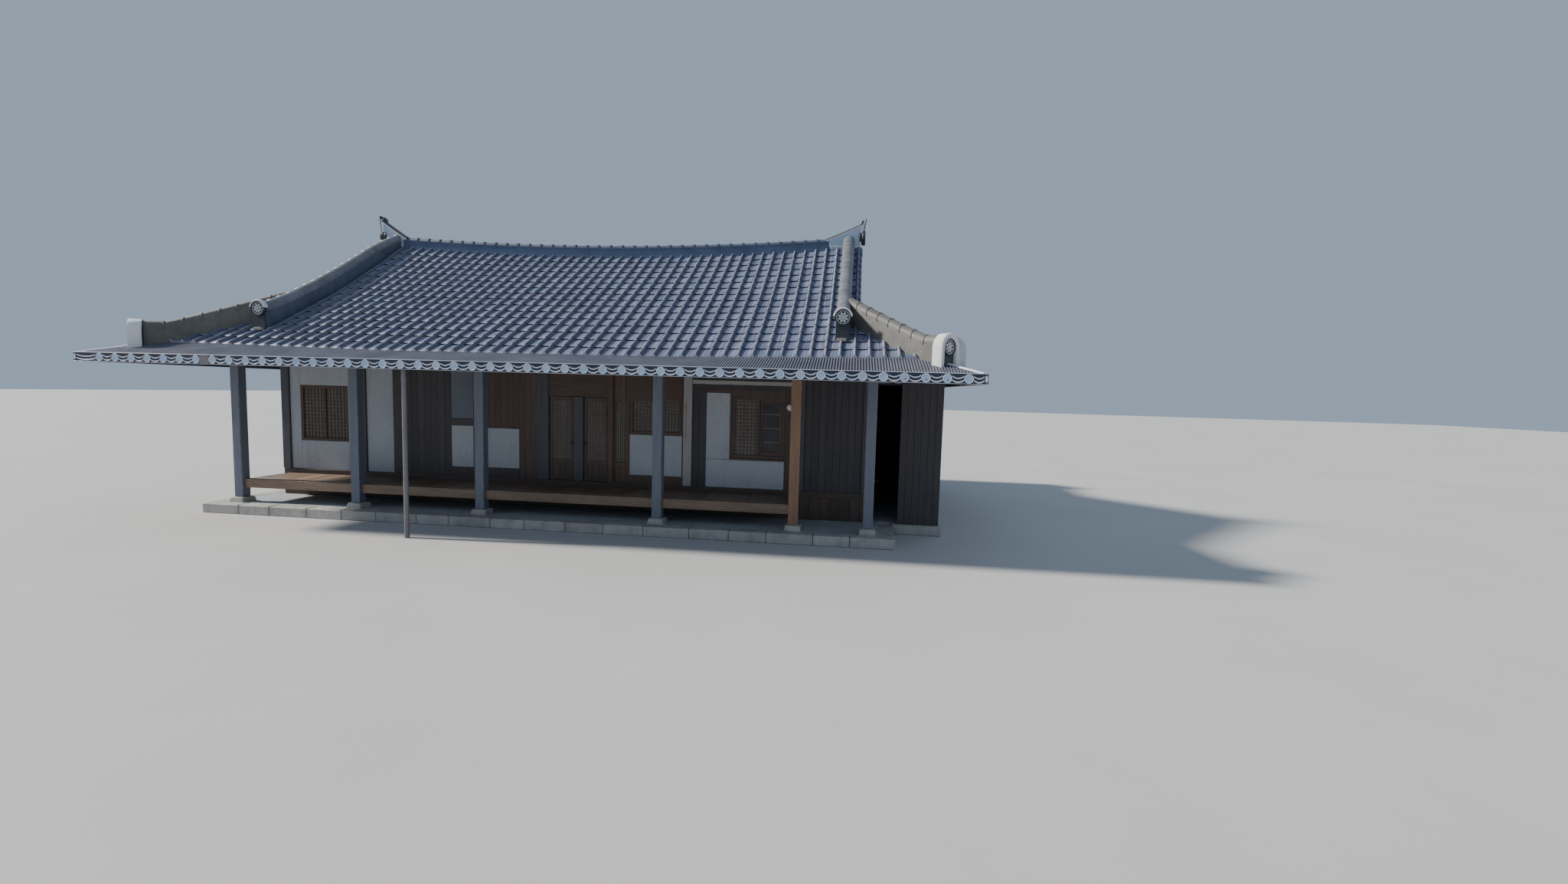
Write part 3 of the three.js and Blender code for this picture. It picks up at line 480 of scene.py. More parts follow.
def glass_finish():
    """Dark window glass with slight ripple and dust."""
    m = Finish("dark_glass", roughness=0.12, specular=0.3)
    dust = m.noise(m.place(), 5.0, 6.0, 0.6)
    m.bump(m.noise(m.place(), 3.0, 2.0), 0.002)
    colour = m.ramp(dust, [(0.4, (0.015, 0.018, 0.024)), (0.8, (0.06, 0.065, 0.07))])
    return m.done(colour, m.span(dust, 0.3, 0.8, 0.06, 0.35))


TILE = tile_finish()
RIDGE_CLAY = mineral("ridge_clay", (0.085, 0.125, 0.22), 0.35, 70, 2.2, (0.45, 0.7), 0.0015)
CAP_CLAY = mineral("cap_clay", (0.08, 0.1, 0.15), 0.3, 80, 2.6, (0.4, 0.65), 0.0012)
DESCEND = mineral("descending_caps", (0.17, 0.18, 0.2), 0.3, 70, 3.4, (0.3, 0.45), 0.0015, (0.09, 0.1, 0.13))
# The descending ridges' flank is painted dark as shade under the caps.
FLANK_SHADE = mineral("descending_flank", (0.09, 0.115, 0.16), 0.3, 70, 2.4, (0.6, 0.8), 0.002, (0.045, 0.06, 0.09))
DUSTY_CLAY = mineral("dusty_clay", (0.36, 0.33, 0.3), 0.25, 60, 2.4, (0.7, 0.9), 0.002)
MORTAR = mineral("hip_mortar", (0.14, 0.138, 0.128), 0.3, 60, 2.6, (0.45, 0.7), 0.003, (0.08, 0.082, 0.085))
WHITE = mineral("white_mortar", (0.8, 0.81, 0.82), 0.1, 50, 2.4, (0.6, 0.85), 0.0015, (0.55, 0.56, 0.57))
# White mortar painted pale blue as shade, for the ridge ends' sunk panels.
WHITE_PANEL_SHADE = mineral("panel_blue", (0.42, 0.53, 0.68), 0.16, 50, 2.4, (0.6, 0.85), 0.0015, (0.3, 0.38, 0.5))
GREY_MORTAR = mineral("grey_mortar", (0.4, 0.43, 0.46), 0.22, 55, 3.0, (0.7, 0.9), 0.003, (0.26, 0.28, 0.31))
WING = mineral("wing_mortar", (0.56, 0.6, 0.66), 0.2, 55, 3.0, (0.7, 0.9), 0.003, (0.38, 0.42, 0.48))
DARK_CLAY = mineral("dark_clay", (0.035, 0.04, 0.055), 0.35, 90, 3.0, (0.4, 0.65), 0.001)
PLASTER = mineral("wall_plaster", (0.4, 0.43, 0.475), 0.12, 45, 1.3, (0.8, 0.95), 0.0016, (0.3, 0.31, 0.32))
# Plaster painted darker as shade under the eave.
SHADE_PLASTER = mineral("sooty_plaster", (0.15, 0.17, 0.205), 0.16, 45, 1.3, (0.8, 0.95), 0.0016, (0.1, 0.11, 0.13))
STONE = mineral("stone", (0.42, 0.41, 0.385), 0.3, 38, 3.4, (0.75, 0.95), 0.004, (0.24, 0.23, 0.2))
BED = mineral("roof_bed", (0.12, 0.11, 0.105), 0.3, 50, 3.0, (0.8, 0.95), 0.003)
BROWN_X, BROWN_Y, BROWN_Z, DARK_X, DARK_Y, DARK_Z = (
    timber(f"{title}_timber_{axis.lower()}", colour, axis)
    for title, colour in (("brown", (0.098, 0.068, 0.056)), ("dark", (0.066, 0.06, 0.067))) for axis in "XYZ")
RED_Z = timber("red_timber", (0.12, 0.075, 0.058), "Z")
LATTICE = timber("lattice_timber", (0.22, 0.185, 0.16), "Z", 0.3)
BLUE_POST = timber("blue_post", (0.16, 0.125, 0.1), "Z", 0.4, (0.15, 0.17, 0.22), 0.3)
SUN_POST = timber("sunlit_post", (0.3, 0.175, 0.11), "Z", 0.35)
SLATE_POST = timber("slate_post", (0.1, 0.09, 0.09), "Z", 0.4, (0.072, 0.077, 0.093), 0.36)
PALE_POST = timber("pale_post", (0.3, 0.27, 0.24), "Z", 0.3, (0.34, 0.345, 0.35), 0.4)
PALE_BEAM = timber("pale_beam", (0.28, 0.255, 0.23), "X", 0.3, (0.38, 0.375, 0.365), 0.36)
VERANDA_Y = timber("veranda_boards", (0.26, 0.18, 0.125), "Y", 0.4, rough=(0.4, 0.65))
VERANDA_X = timber("veranda_beam", (0.24, 0.165, 0.115), "X", 0.4, rough=(0.4, 0.65))
PAPER = paper_finish()
GLASS = glass_finish()
IRON = sheet_metal("iron", (0.03, 0.03, 0.033), (0.4, 0.6), 0.8)
NAVY = sheet_metal("navy_sheet", (0.012, 0.019, 0.048), (0.3, 0.45), 0.0, (0.1, 0.11, 0.15))
RIB_SHEET = sheet_metal("ribbed_sheet", (0.125, 0.135, 0.18), (0.35, 0.5), 0.0, (0.24, 0.26, 0.3))
# The grooves' darker sheet is painted shade.
GROOVE_SHADE = sheet_metal("ribbed_sheet_groove", (0.035, 0.032, 0.05), (0.5, 0.7), 0.0, (0.08, 0.08, 0.09))
PALE_BLUE = sheet_metal("pale_blue_paint", (0.36, 0.47, 0.68), (0.35, 0.5), 0.0, (0.5, 0.56, 0.64))
SWAG_WHITE = sheet_metal("swag_white_paint", (0.6, 0.66, 0.78), (0.35, 0.5), 0.0, (0.45, 0.46, 0.5))
PIPE_GREY = sheet_metal("pipe_grey", (0.17, 0.165, 0.175), (0.35, 0.55))
LAMP_WHITE = sheet_metal("lamp_white", (0.75, 0.76, 0.76), (0.3, 0.45), 0.0, (0.5, 0.5, 0.5))


# Roof surfaces
def profile(s):
    t = s / TILE_Y
    return EDGE_Z + RISE * (PROFILE_LINEAR * t + (1 - PROFILE_LINEAR) * t * t)


def main_height(a, s):
    t = s / TILE_Y
    u = np.minimum(1, np.abs(a) / GABLE_X)
    return profile(s) - RIDGE_SAG * (1 - u * u) * t * t


def main_top(x, y):
    return float(main_height(x, TILE_Y - abs(y)))


def side_height(a, s):
    return profile(s) + 0 * a


def corner_raise(from_hip, s):
    """How far the edge is lifted, by the distance to the hip along the eave and the distance up the slope."""
    near = np.clip(1 - np.maximum(0, from_hip) / RAISE_ALONG, 0, 1)
    return CORNER_RAISE * near * np.clip(1 - s / RAISE_UP, 0, 1)


def strip_top(out):
    return STRIP_TOP - STRIP_DROP * out / STRIP_RUN


def strip_height(half_along, a, out):
    """Top of the ribbed strip, steeper towards the corners."""
    lift = STRIP_LIFT + corner_raise(half_along - abs(a), 0)
    return float(strip_top(out) + lift * (1 - out / STRIP_RUN))


def tile_field(name, half_eave, half_depth, half_verge, top_s, height, turns):
    """Lapped rolls and pans over one slope. Runs along X at y = -(half_depth - s), then turned about Z."""
    margin = 0.05
    steps = np.linspace(-margin, top_s, 400)
    climb = np.concatenate([[0], np.cumsum(np.hypot(np.diff(steps), np.diff(profile(steps))))])
    start = float(np.interp(-TILE_OVERHANG, steps, climb))
    courses = max(1, round((climb[-1] - start) / TILE_EXPOSURE))
    exposure = (climb[-1] - start) / courses

    section_u, section_h = np.array(TILE_SECTION + [(1.0, 0.0)]).T
    origin = ROLL_ANCHOR - ROLL_AT * TILE_PITCH
    first = math.floor((-half_eave - margin - origin) / TILE_PITCH)
    tiles = math.ceil((half_eave + margin - origin) / TILE_PITCH) - first
    shares = np.tile(section_u[:-1], tiles)
    owner = np.repeat(np.arange(tiles), len(TILE_SECTION))
    columns = origin + (first + owner + shares) * TILE_PITCH
    on_roll = shares > ROLL_FROM - 0.001
    step = np.where(on_roll, ROLL_STEP, 1.0)
    seed = np.random.default_rng(3 + turns)
    lift, slip, tones, tints = (seed.uniform(-most, most, (courses + 1, tiles)) for most in TILE_CHANCE)

    rows = []
    for j in range(courses):
        at = start + j * exposure
        rows += [(j, at, None), (j, at, TILE_THICK - 0.003), (j, at + 0.004, TILE_THICK),
                 (j, at + 0.5 * exposure, TILE_THICK * 0.5)]
    rows.append((courses, climb[-1], 0.0))

    grid = []
    flow = []
    for j, along, rise in rows:
        s = np.interp(along + slip[j][owner] * (0 if rise == 0.0 else 1), climb, steps)
        reach = np.maximum(half_verge, half_eave - s)
        a = np.clip(columns, -reach, reach)
        offset = np.interp(((a - origin) / TILE_PITCH) % 1.0, section_u, section_h)
        if rise is None:
            offset = offset - (0.001 if j else TILE_SKIRT)
        else:
            offset = offset + rise * step + lift[j][owner]
        slope = (profile(s + 0.01) - profile(s - 0.01)) / 0.02
        cosine = 1 / np.sqrt(1 + slope * slope)
        bed = height(a, s) + TILE_LIFT + corner_raise(half_eave - s - np.abs(a), s)
        line = np.stack([a, -(half_depth - (s - offset * slope * cosine)), bed + offset * cosine], 1)
        low, high = ([a[k], -(half_depth - s[k]), bed[k] - 0.06] for k in (0, -1))
        grid.append(np.vstack([low, line, high]))
        flow += [(x, along) for x in (a[0], *a, a[-1])]
    grid = np.array(grid)

    owners = [owner[0], *owner, owner[-1]]
    # Rolls' left halves (0.5) are painted as the sunlit side and their right halves (0.82) as the shaded
    # side.
    sides = [0.0, *np.where(on_roll, np.where(shares < ROLL_AT - 0.001, 0.5, 0.82), 0.0), 0.0]
    width = grid.shape[1]
    faces = []
    marks = {"tone": [], "tint": [], "lap": []}
    for r in range(len(rows) - 1):
        across = np.abs(np.diff(grid[r:r + 2], axis=1)).sum(0)
        course = rows[r][0]
        for c in np.nonzero((across[:, 0] > 1e-6) | (across[:, 2] > 1e-3))[0]:
            faces.append([r * width + c, r * width + c + 1, (r + 1) * width + c + 1, (r + 1) * width + c])
            marks["tone"].append(tones[course, owners[c]])
            marks["tint"].append(tints[course, owners[c]])
            # Risers between courses get painted shade (1.0); the bottom course's fronts get a painted
            # highlight (-1.0).
            if r % 4 == 0:
                marks["lap"].append(1.0 if r else -1.0)
            else:
                marks["lap"].append(sides[c] if sides[c + 1] else 0.0)

    turn = np.array(Matrix.Rotation(turns * math.pi / 2, 3, "Z"))
    mesh = make_mesh(name, (grid.reshape(-1, 3) @ turn.T).tolist(), faces, [TILE], marks, 42)
    corners = np.empty(len(mesh.loops), dtype=np.int64)
    mesh.loops.foreach_get("vertex_index", corners)
    uv = np.array(flow, dtype=np.float32)[corners]
    mesh.uv_layers.new(name="flow").data.foreach_set("uv", uv.ravel())
    settle(mesh, "tile")


def build_tiles():
    for turns, (name, half_along, half_across) in enumerate(SIDES):
        if turns % 2:
            slope = (0, TILE_X - VERGE_X - 0.012, side_height)
        else:
            slope = (VERGE_X, TILE_Y - 0.1, main_height)
        tile_field(f"{name}_tiles", half_along, half_across, *slope, turns)


# Ridges
def sections_along(path, outline):
    """Rings of an outline of (side, up) points set square to a path that keeps its own upright."""
    rings = []
    for i, p in enumerate(path):
        a = path[max(0, i - 1)]
        b = path[min(len(path) - 1, i + 1)]
        forward = Vector((b[0] - a[0], b[1] - a[1], 0)).normalized()
        side = Vector((forward.y, -forward.x, 0))
        points = outline(i) if callable(outline) else outline
        rings.append([Vector(p) + side * u + Vector((0, 0, v)) for u, v in points])
    return rings


def walk(path, step):
    """Points every step along a path of points, with both ends kept."""
    lengths = [0.0]
    for a, b in zip(path, path[1:]):
        lengths.append(lengths[-1] + (Vector(b) - Vector(a)).length)
    stops = np.linspace(0, lengths[-1], max(1, round(lengths[-1] / step)) + 1)
    axes = [np.interp(stops, lengths, [p[k] for p in path]) for k in range(3)]
    return [Vector(p) for p in zip(*axes)]


def cap_row(shape, path, radius, step, collar, collar_long, foot, finish):
    """Half-round cap tiles laid end to end, each with a raised collar where it laps the next."""
    def half_round(r):
        return [(-r, -foot)] + [(r * c, r * s) for c, s in arc(14, math.pi, -math.pi)] + [(r, -foot)]

    joints = walk(path, step)
    for a, b in zip(joints, joints[1:]):
        forward = (b - a).normalized()
        stations = [0.0, 0.001, collar_long, collar_long + 0.004, (b - a).length - 0.001]
        radii = [radius + collar - 0.003, radius + collar, radius + collar, radius, radius]
        points = [a + forward * s for s in stations]
        loft(shape, sections_along(points, lambda i: half_round(radii[i])), finish)


def flank(shape, path, half, low, high, finish, bulge=0.0):
    """A plastered flank below the caps; low and high give its foot and head at each point of the path."""
    steps = 6

    def outline(i):
        foot, head = low(path[i]) - path[i][2], high(path[i]) - path[i][2]
        left = [(-half - bulge * math.sin(math.pi * k / steps), foot + (head - foot) * k / steps)
                for k in range(steps + 1)]
        return left + [(-u, v) for u, v in reversed(left)]
    loft(shape, sections_along(path, outline), finish)


def ridge_line(x):
    """Top of the main ridge."""
    return RIDGE_Z + RIDGE_RISE * (x / RIDGE_RISE_AT) ** 2


def build_main_ridge():
    """Caps with raised joints over a dark flank, which stands on a straight line between the rolls."""
    radius, into_end = 0.066, 0.05
    shape = Shape()
    path = [(x, 0, ridge_line(x)) for x in np.linspace(-RIDGE_LEFT - into_end, RIDGE_RIGHT + into_end, 61)]
    for half, head in ((0.106, lambda p: ridge_line(p[0]) - 0.08),
                       (0.122, lambda p: main_top(p[0], 0.12) + 0.078)):
        flank(shape, path, half, lambda p: main_top(p[0], 0.1) - 0.06, head, RIDGE_CLAY)
    for low, high, half in ((0.088, 0.069, 0.117), (0.121, 0.106, 0.111)):
        outline = [(-half, -low), (-half, -high), (half, -high), (half, -low)]
        loft(shape, sections_along(path, outline), RIDGE_CLAY)
    axis = [(x, y, z - radius - 0.006) for x, y, z in path]
    cap_row(shape, axis, radius - 0.002, 0.24, 0.016, 0.04, 0.004, CAP_CLAY)
    piece("main_ridge_tiles", shape, "ridge", replaces=["main_ridge"])


def face_axes(outward):
    """The outward direction of an upright face and its level direction."""
    outward = Vector(outward).normalized()
    return outward, Vector((-outward.y, outward.x, 0)).normalized()


def lotus_face(shape, centre, radius):
    """A round end tile that faces -Y: rim, sunk field, ring of beads and an eight-petal flower."""
    outward, side = face_axes((0, -1, 0))
    centre = Vector(centre)
    up = Vector((0, 0, 1))
    rim = [(0, -0.05), (radius * 0.97, -0.05), (radius, -0.045), (radius, -0.004), (radius * 0.97, 0),
           (radius * 0.89, 0), (radius * 0.87, -0.012), (0, -0.012)]
    turned(shape, rim, centre, outward, 36, DARK_CLAY, 0.3)
    r = radius * 0.075
    bead = [(r, -0.013), (r * 0.85, -0.008), (r * 0.5, -0.005), (0, -0.004)]
    for c, s in arc(22)[:-1]:
        turned(shape, bead, centre + (side * c + up * s) * radius * 0.76, outward, 8, WHITE)
    petals = 8
    stations = ((0.18, 0.03, 0.002), (0.32, 0.1, 0.006), (0.46, 0.13, 0.007), (0.56, 0.09, 0.006),
                (0.64, 0.012, 0.002))
    faces = [[4 * r + c, 4 * r + c + 4, 4 * r + c + 5, 4 * r + c + 1] for r in range(4) for c in range(3)]
    for c, s in arc(petals, math.pi / petals)[:-1]:
        radial = side * c + up * s
        tangent = side * -s + up * c
        verts = [centre + radial * radius * t + tangent * radius * half * w + outward * (-0.012 + rise * z)
                 for t, half, rise in stations for w, z in ((-1, 0), (-0.45, 1), (0.45, 1), (1, 0))]
        shape.add(verts, faces, WHITE, 0)
    r = radius * 0.15
    boss = [(r, -0.012), (r * 0.9, -0.006), (r * 0.5, -0.003), (0, -0.002)]
    turned(shape, boss, centre, outward, 14, WHITE)


def mortar_arc(shape, centre, radius, width, deep, start, end):
    """A thick band of mortar bent over a round tile that faces -Y, between two angles in degrees."""
    outward, side = face_axes((0, -1, 0))
    section = [(0, -deep), (0, 0.006), (width * 0.25, 0.012), (width * 0.75, 0.012), (width, 0.004),
               (width, -deep)]
    rings = []
    for c, s in arc(18, math.radians(start), math.radians(end - start)):
        radial = side * c + Vector((0, 0, 1)) * s
        rings.append([Vector(centre) + radial * (radius + u) + outward * v for u, v in section])
    loft(shape, rings, WHITE, 0)


def upright_plate(shape, outline, half, finish, soften=0.005):
    """An outline of (x, z) points given thickness either side of y = 0, with eased edges."""
    cx = sum(x for x, _ in outline) / len(outline)
    cz = sum(z for _, z in outline) / len(outline)
    rings = []
    for y, k in ((-half, soften), (-half + soften, 0), (half - soften, 0), (half, soften)):
        ring = []
        for x, z in outline:
            away = max(0.01, math.hypot(x - cx, z - cz))
            ring.append((x + (cx - x) / away * k, y, z + (cz - z) / away * k))
        rings.append(ring)
    loft(shape, rings, finish, 0)


def border(shape, points, proud):
    """A raised white strip on both faces of a ridge end, laid to the right of a line of (x, z) points."""
    inner = []
    for i, (x, z) in enumerate(points):
        ax, az = points[max(0, i - 1)]
        bx, bz = points[min(len(points) - 1, i + 1)]
        length = math.hypot(bx - ax, bz - az)
        inner.append((x + (bz - az) / length * END_BORDER, z - (bx - ax) / length * END_BORDER))
    for side in (-1, 1):
        y0, y1 = side * (END_HALF - 0.002), side * (END_HALF + proud)
        rings = [[(a[0], y0, a[1]), (a[0], y1, a[1]), (b[0], y1, b[1]), (b[0], y0, b[1])]
                 for a, b in zip(points, inner)]
        loft(shape, rings, WHITE, 0)


def build_ridge_ends():
    """Upturned white ends: white panels painted pale blue as shade, with white borders, a dark cap, a forked
    fin and a round tile.
    """
    for name, mirror, x0, lift in (("right", 1, RIDGE_RIGHT, 0.0), ("left", -1, RIDGE_LEFT, 0.075)):
        shape = Shape()
        tip_x, tip_z = 4.845 + lift, 5.345 + lift
        start_z = ridge_line(x0) - 0.03
        panel_foot, fin_foot, curve = 4.84, 5.1, 1.08
        shares = [i / 12 for i in range(13)]
        top = [(x0 + (tip_x - x0) * t, start_z + (tip_z - start_z) * t ** curve) for t in shares]
        foot = [(x0 + 0.09, panel_foot), (tip_x - 0.03, panel_foot), (tip_x - 0.01, 5.06)]
        fin = [(tip_x - 0.07, fin_foot), (tip_x + 0.012, fin_foot), (tip_x + 0.03, 5.26),
               (tip_x + 0.048, tip_z + 0.05), (tip_x - 0.02, tip_z + 0.03), (tip_x - 0.03, tip_z - 0.01)]
        blade = [(tip_x + 0.009, fin_foot), (tip_x + 0.021, fin_foot), (tip_x + 0.039, 5.26),
                 (tip_x + 0.07, tip_z + 0.106), (tip_x + 0.058, tip_z + 0.108), (tip_x + 0.028, 5.262)]
        # The sunk panel is white mortar painted as shade.
        upright_plate(shape, foot + top[::-1], END_HALF, WHITE_PANEL_SHADE)
        upright_plate(shape, fin, END_HALF - 0.02, WHITE)
        upright_plate(shape, blade, END_HALF - 0.014, DARK_CLAY, 0.002)
        border(shape, top, 0.012)
        border(shape, [top[-1], (tip_x - 0.005, 5.2), foot[2], foot[1]], 0.01)
        border(shape, [(foot[0][0] + 0.005, 4.9), (x0 + 0.06, 4.95), top[0]], 0.009)
        border(shape, [(tip_x - 0.03, 4.925), (x0 + 0.06, 4.925)], 0.008)
        loft(shape, sections_along([(x, 0, z + 0.002) for x, z in top], END_LID), DARK_CLAY, 0.2)
        turned(shape, TIP_TILE, (tip_x - 0.028, 0, tip_z + 0.032), (1, 0, -0.3), 24, DARK_CLAY)
        turned(shape, END_TILE, (4.795 + lift / 2, 0, 5.105), (1, 0, 0), 32, DARK_CLAY)
        block(shape, x0 + 0.12, 4.86, -0.09, 0.09, 4.76, 4.88, DARK_CLAY, 0)
        if mirror < 0:
            shape = shape.placed(lambda x, y, z: (-x, y, z), flip=True)
        piece(f"{name}_ridge_end_mortar", shape, "white", replaces=[f"{name}_ridge_end"])


def descending_ridge(shape):
    """Lower where it meets the main ridge, turned up at its foot and closed there by a round tile."""
    y0, y1 = 0.088, 3.118
    above, dip, dip_end, turn_up = 0.4, 0.13, 0.3, 0.09
    path = []
    for i in range(25):
        t = i / 24
        y = -(y0 + (y1 - y0) * t)
        lower = dip * max(0, 1 - t / dip_end) ** 2
        path.append((GABLE_X, y, main_top(GABLE_X, y) + above - lower + turn_up * t ** 5))
    # The flank takes painted shade under the caps.
    flank(shape, path, 0.096, lambda p: main_top(p[0], p[1]) - 0.05, lambda p: p[2] - 0.1, FLANK_SHADE, 0.006)
    axis = [(x, y, z - 0.103) for x, y, z in path]
    cap_row(shape, axis, 0.1, 0.196, 0.005, 0.012, 0.03, DESCEND)
    x, end_y, _ = path[-1]
    foot = main_top(x, end_y)
    neck = [(0, 0.0), (0.1, 0.0), (0.114, 0.02), (0.118, 0.045)]
    turned(shape, neck, (x, end_y + 0.03, foot + 0.396), (0, -1, 0), 32, DARK_CLAY)
    lotus_face(shape, (x, end_y - 0.052, foot + 0.396), 0.12)
    mortar_arc(shape, (x, end_y - 0.044, foot + 0.396), 0.112, 0.028, 0.05, 8, 172)
    # A near-black block under the round tile stands in as painted shade there.
    block(shape, x - 0.1, x + 0.1, end_y - 0.02, end_y + 0.03, foot - 0.02, foot + 0.3, DARK_CLAY, 0)
    block(shape, x - 0.075, x + 0.06, end_y - 0.075, end_y + 0.01, foot + 0.055, foot + 0.1, DUSTY_CLAY, 0)


def hip_ridge(shape):
    """Mortared ridge over the hip, from the foot of the descending ridge to the block at the corner."""
    def surface(x):
        return profile(TILE_X - x) if x < TILE_X else EDGE_Z

    start, end = 4.69, 5.9
    above, fall = 0.43, 0.05
    path = []
    for i in range(19):
        x = start + (end - start) * i / 18
        path.append((x, HIP_OFFSET - x, surface(x) + above - fall * (x - start) / (end - start)))
    flank(shape, path, 0.095, lambda p: surface(p[0]) - 0.12, lambda p: p[2] - 0.09, MORTAR, 0.006)
    axis = [(x, y, z - 0.1) for x, y, z in path]
    cap_row(shape, axis, 0.096, 0.235, 0.009, 0.016, 0.03, MORTAR)


def hip_block(shape):
    """White arched block that closes the hip, its round tile set back inside over a dark plate of painted
    shade, with a grey shoulder.
    """
    spring, thick, low = 2.8, 0.15, 2.47
    before = len(shape.verts)

    def arch(half, y):
        over = [(half * c, y, spring + half * s) for c, s in arc(16, math.pi, -math.pi)]
        return [(-half, y, low)] + over + [(half, y, low)]

    shell = ((0.18, 0.0), (0.188, -0.01), (0.188, -thick + 0.012), (0.18, -thick - 0.004),
             (0.128, -thick - 0.004), (0.12, -thick + 0.004), (0.12, -thick + 0.03))
    loft(shape, [arch(half, y) for half, y in shell], WHITE, 0, ends=False)
    # Painted shade: a dark plate fills the arch's hollow behind and under the round tile.
    loft(shape, [arch(0.12, -thick + 0.05), arch(0.12, -thick + 0.03)], DARK_CLAY, 0)
    wing = [(0.1, low), (0.1, 2.962), (0.15, 2.955), (0.24, 2.935), (0.31, 2.9), (0.365, 2.85), (0.38, 2.78),
            (0.38, low)]
    rings = []
    for y, k in ((-0.006, 0.95), (-0.016, 1.0), (-thick + 0.03, 1.0), (-thick + 0.02, 0.95)):
        rings.append([(0.1 + (u - 0.1) * k, y, low + (z - low) * (0.5 + 0.5 * k)) for u, z in wing])
    loft(shape, rings, WING, 0)
    block(shape, 0.19, 0.222, -thick - 0.002, -thick + 0.03, low, 2.7, WHITE, 0, 0.006)
    lotus_face(shape, (0, -thick + 0.008, 2.81), 0.117)
    turn = Matrix.Translation((5.905, HIP_OFFSET - 5.905, 0)) @ Matrix.Rotation(math.pi / 4, 4, "Z")
    shape.verts[before:] = [tuple(turn @ Vector(v)) for v in shape.verts[before:]]


def build_corner_ridges():
    """Descending ridge, hip ridge and end block at each corner, drawn once and mirrored."""
    shape = Shape()
    descending_ridge(shape)
    hip_ridge(shape)
    hip_block(shape)
    for depth, sy in (("front", 1), ("back", -1)):
        for hand, sx in (("right", 1), ("left", -1)):
            corner = shape.placed(lambda x, y, z: (sx * x, sy * y, z), sx * sy < 0)
            name = f"{depth}_{hand}"
            piece(f"{name}_ridge_tiles", corner, "ridge", replaces=[f"{name}_ridges"])


# Eaves
def ribbed_strip(shape, half_along, at):
    """The sheet between the tile edge and the gutter, with its ribs and painted shade in the grooves."""
    count = int((half_along + STRIP_RUN) / RIB_PITCH)
    # Groove faces take the darker sheet, as painted shade.
    section = ((-0.34, 0, RIB_SHEET), (-0.24, 1, RIB_SHEET), (0.2, 1, RIB_SHEET), (0.28, 0, GROOVE_SHADE))
    columns = [((k + share) * RIB_PITCH, high * RIB_HEIGHT, finish)
               for k in range(-count, count + 1) for share, high, finish in section]
    columns = [column for column in columns if abs(column[0]) < half_along + STRIP_RUN - 0.001]
    edge = strip_top(STRIP_RUN)
    rings = []
    for a, h, _ in columns:
        start = max(0.0, abs(a) - half_along)
        rings.append([at(a, start, strip_height(half_along, a, start) + h), at(a, STRIP_RUN, edge + h),
                      at(a, STRIP_RUN, edge - 0.02), at(a, STRIP_RUN - 0.02, edge - STRIP_THICK),
                      at(a, start, strip_top(start) - STRIP_THICK)])
    for (_, _, finish), left, right in zip(columns, rings, rings[1:]):
        loft(shape, [left, right], finish, 0, closed=False, ends=False)


def gutter_sheet(shape, half_along, at, face):
    """The gutter's U of folded sheet with a rolled lip."""
    lip = strip_top(GUTTER_BACK) - 0.026
    outline = [(face, GUTTER_LOW + 0.004), (face, GUTTER_TOP - 0.008)]
    outline += [(face - 0.003 + 0.006 * c, GUTTER_TOP - 0.004 + 0.004 * s)
                for c, s in arc(6, -math.pi / 2, math.pi * 1.35)]
    outline += [(face - 0.006, GUTTER_TOP - 0.008), (face - 0.006, GUTTER_LOW + 0.006),
                (GUTTER_BACK + 0.006, GUTTER_LOW + 0.006), (GUTTER_BACK + 0.006, lip), (GUTTER_BACK, lip),
                (GUTTER_BACK, GUTTER_LOW), (face - 0.004, GUTTER_LOW)]
    outline = [(min(out, GUTTER_OUT - 0.0005), z) for out, z in outline]
    rings = [[at(end * (half_along + out - 0.0003), out, z) for out, z in outline] for end in (-1, 1)]
    loft(shape, rings, NAVY, 0)


def swag(shape, a0, a1, y, top, sag, half):
    """A raised ribbon hanging between two discs."""
    rings = []
    for k in range(9):
        t = k / 8
        a = a0 + (a1 - a0) * t
        z = top - sag * 4 * t * (1 - t)
        rings.append([(a, y, z - half), (a, y - 0.0024, z - half * 0.7), (a, y - 0.0024, z + half * 0.7),
                      (a, y, z + half)])
    loft(shape, rings, SWAG_WHITE, 0, closed=False, ends=False)


def leaf(shape, a, y):
    """A pointed pale leaf that closes the row of discs at a corner."""
    outline = [(0.0, -0.05), (0.012, -0.03), (0.017, 0.0), (0.012, 0.03), (0.0, 0.05), (-0.012, 0.03),
               (-0.017, 0.0), (-0.012, -0.03)]
    rings = [[(a + u * scale, y - lift, DISC_Z + v * scale) for u, v in outline]
             for scale, lift in ((1.0, 0.0), (1.0, 0.0018), (0.7, 0.003))]
    loft(shape, rings, SWAG_WHITE, 0)


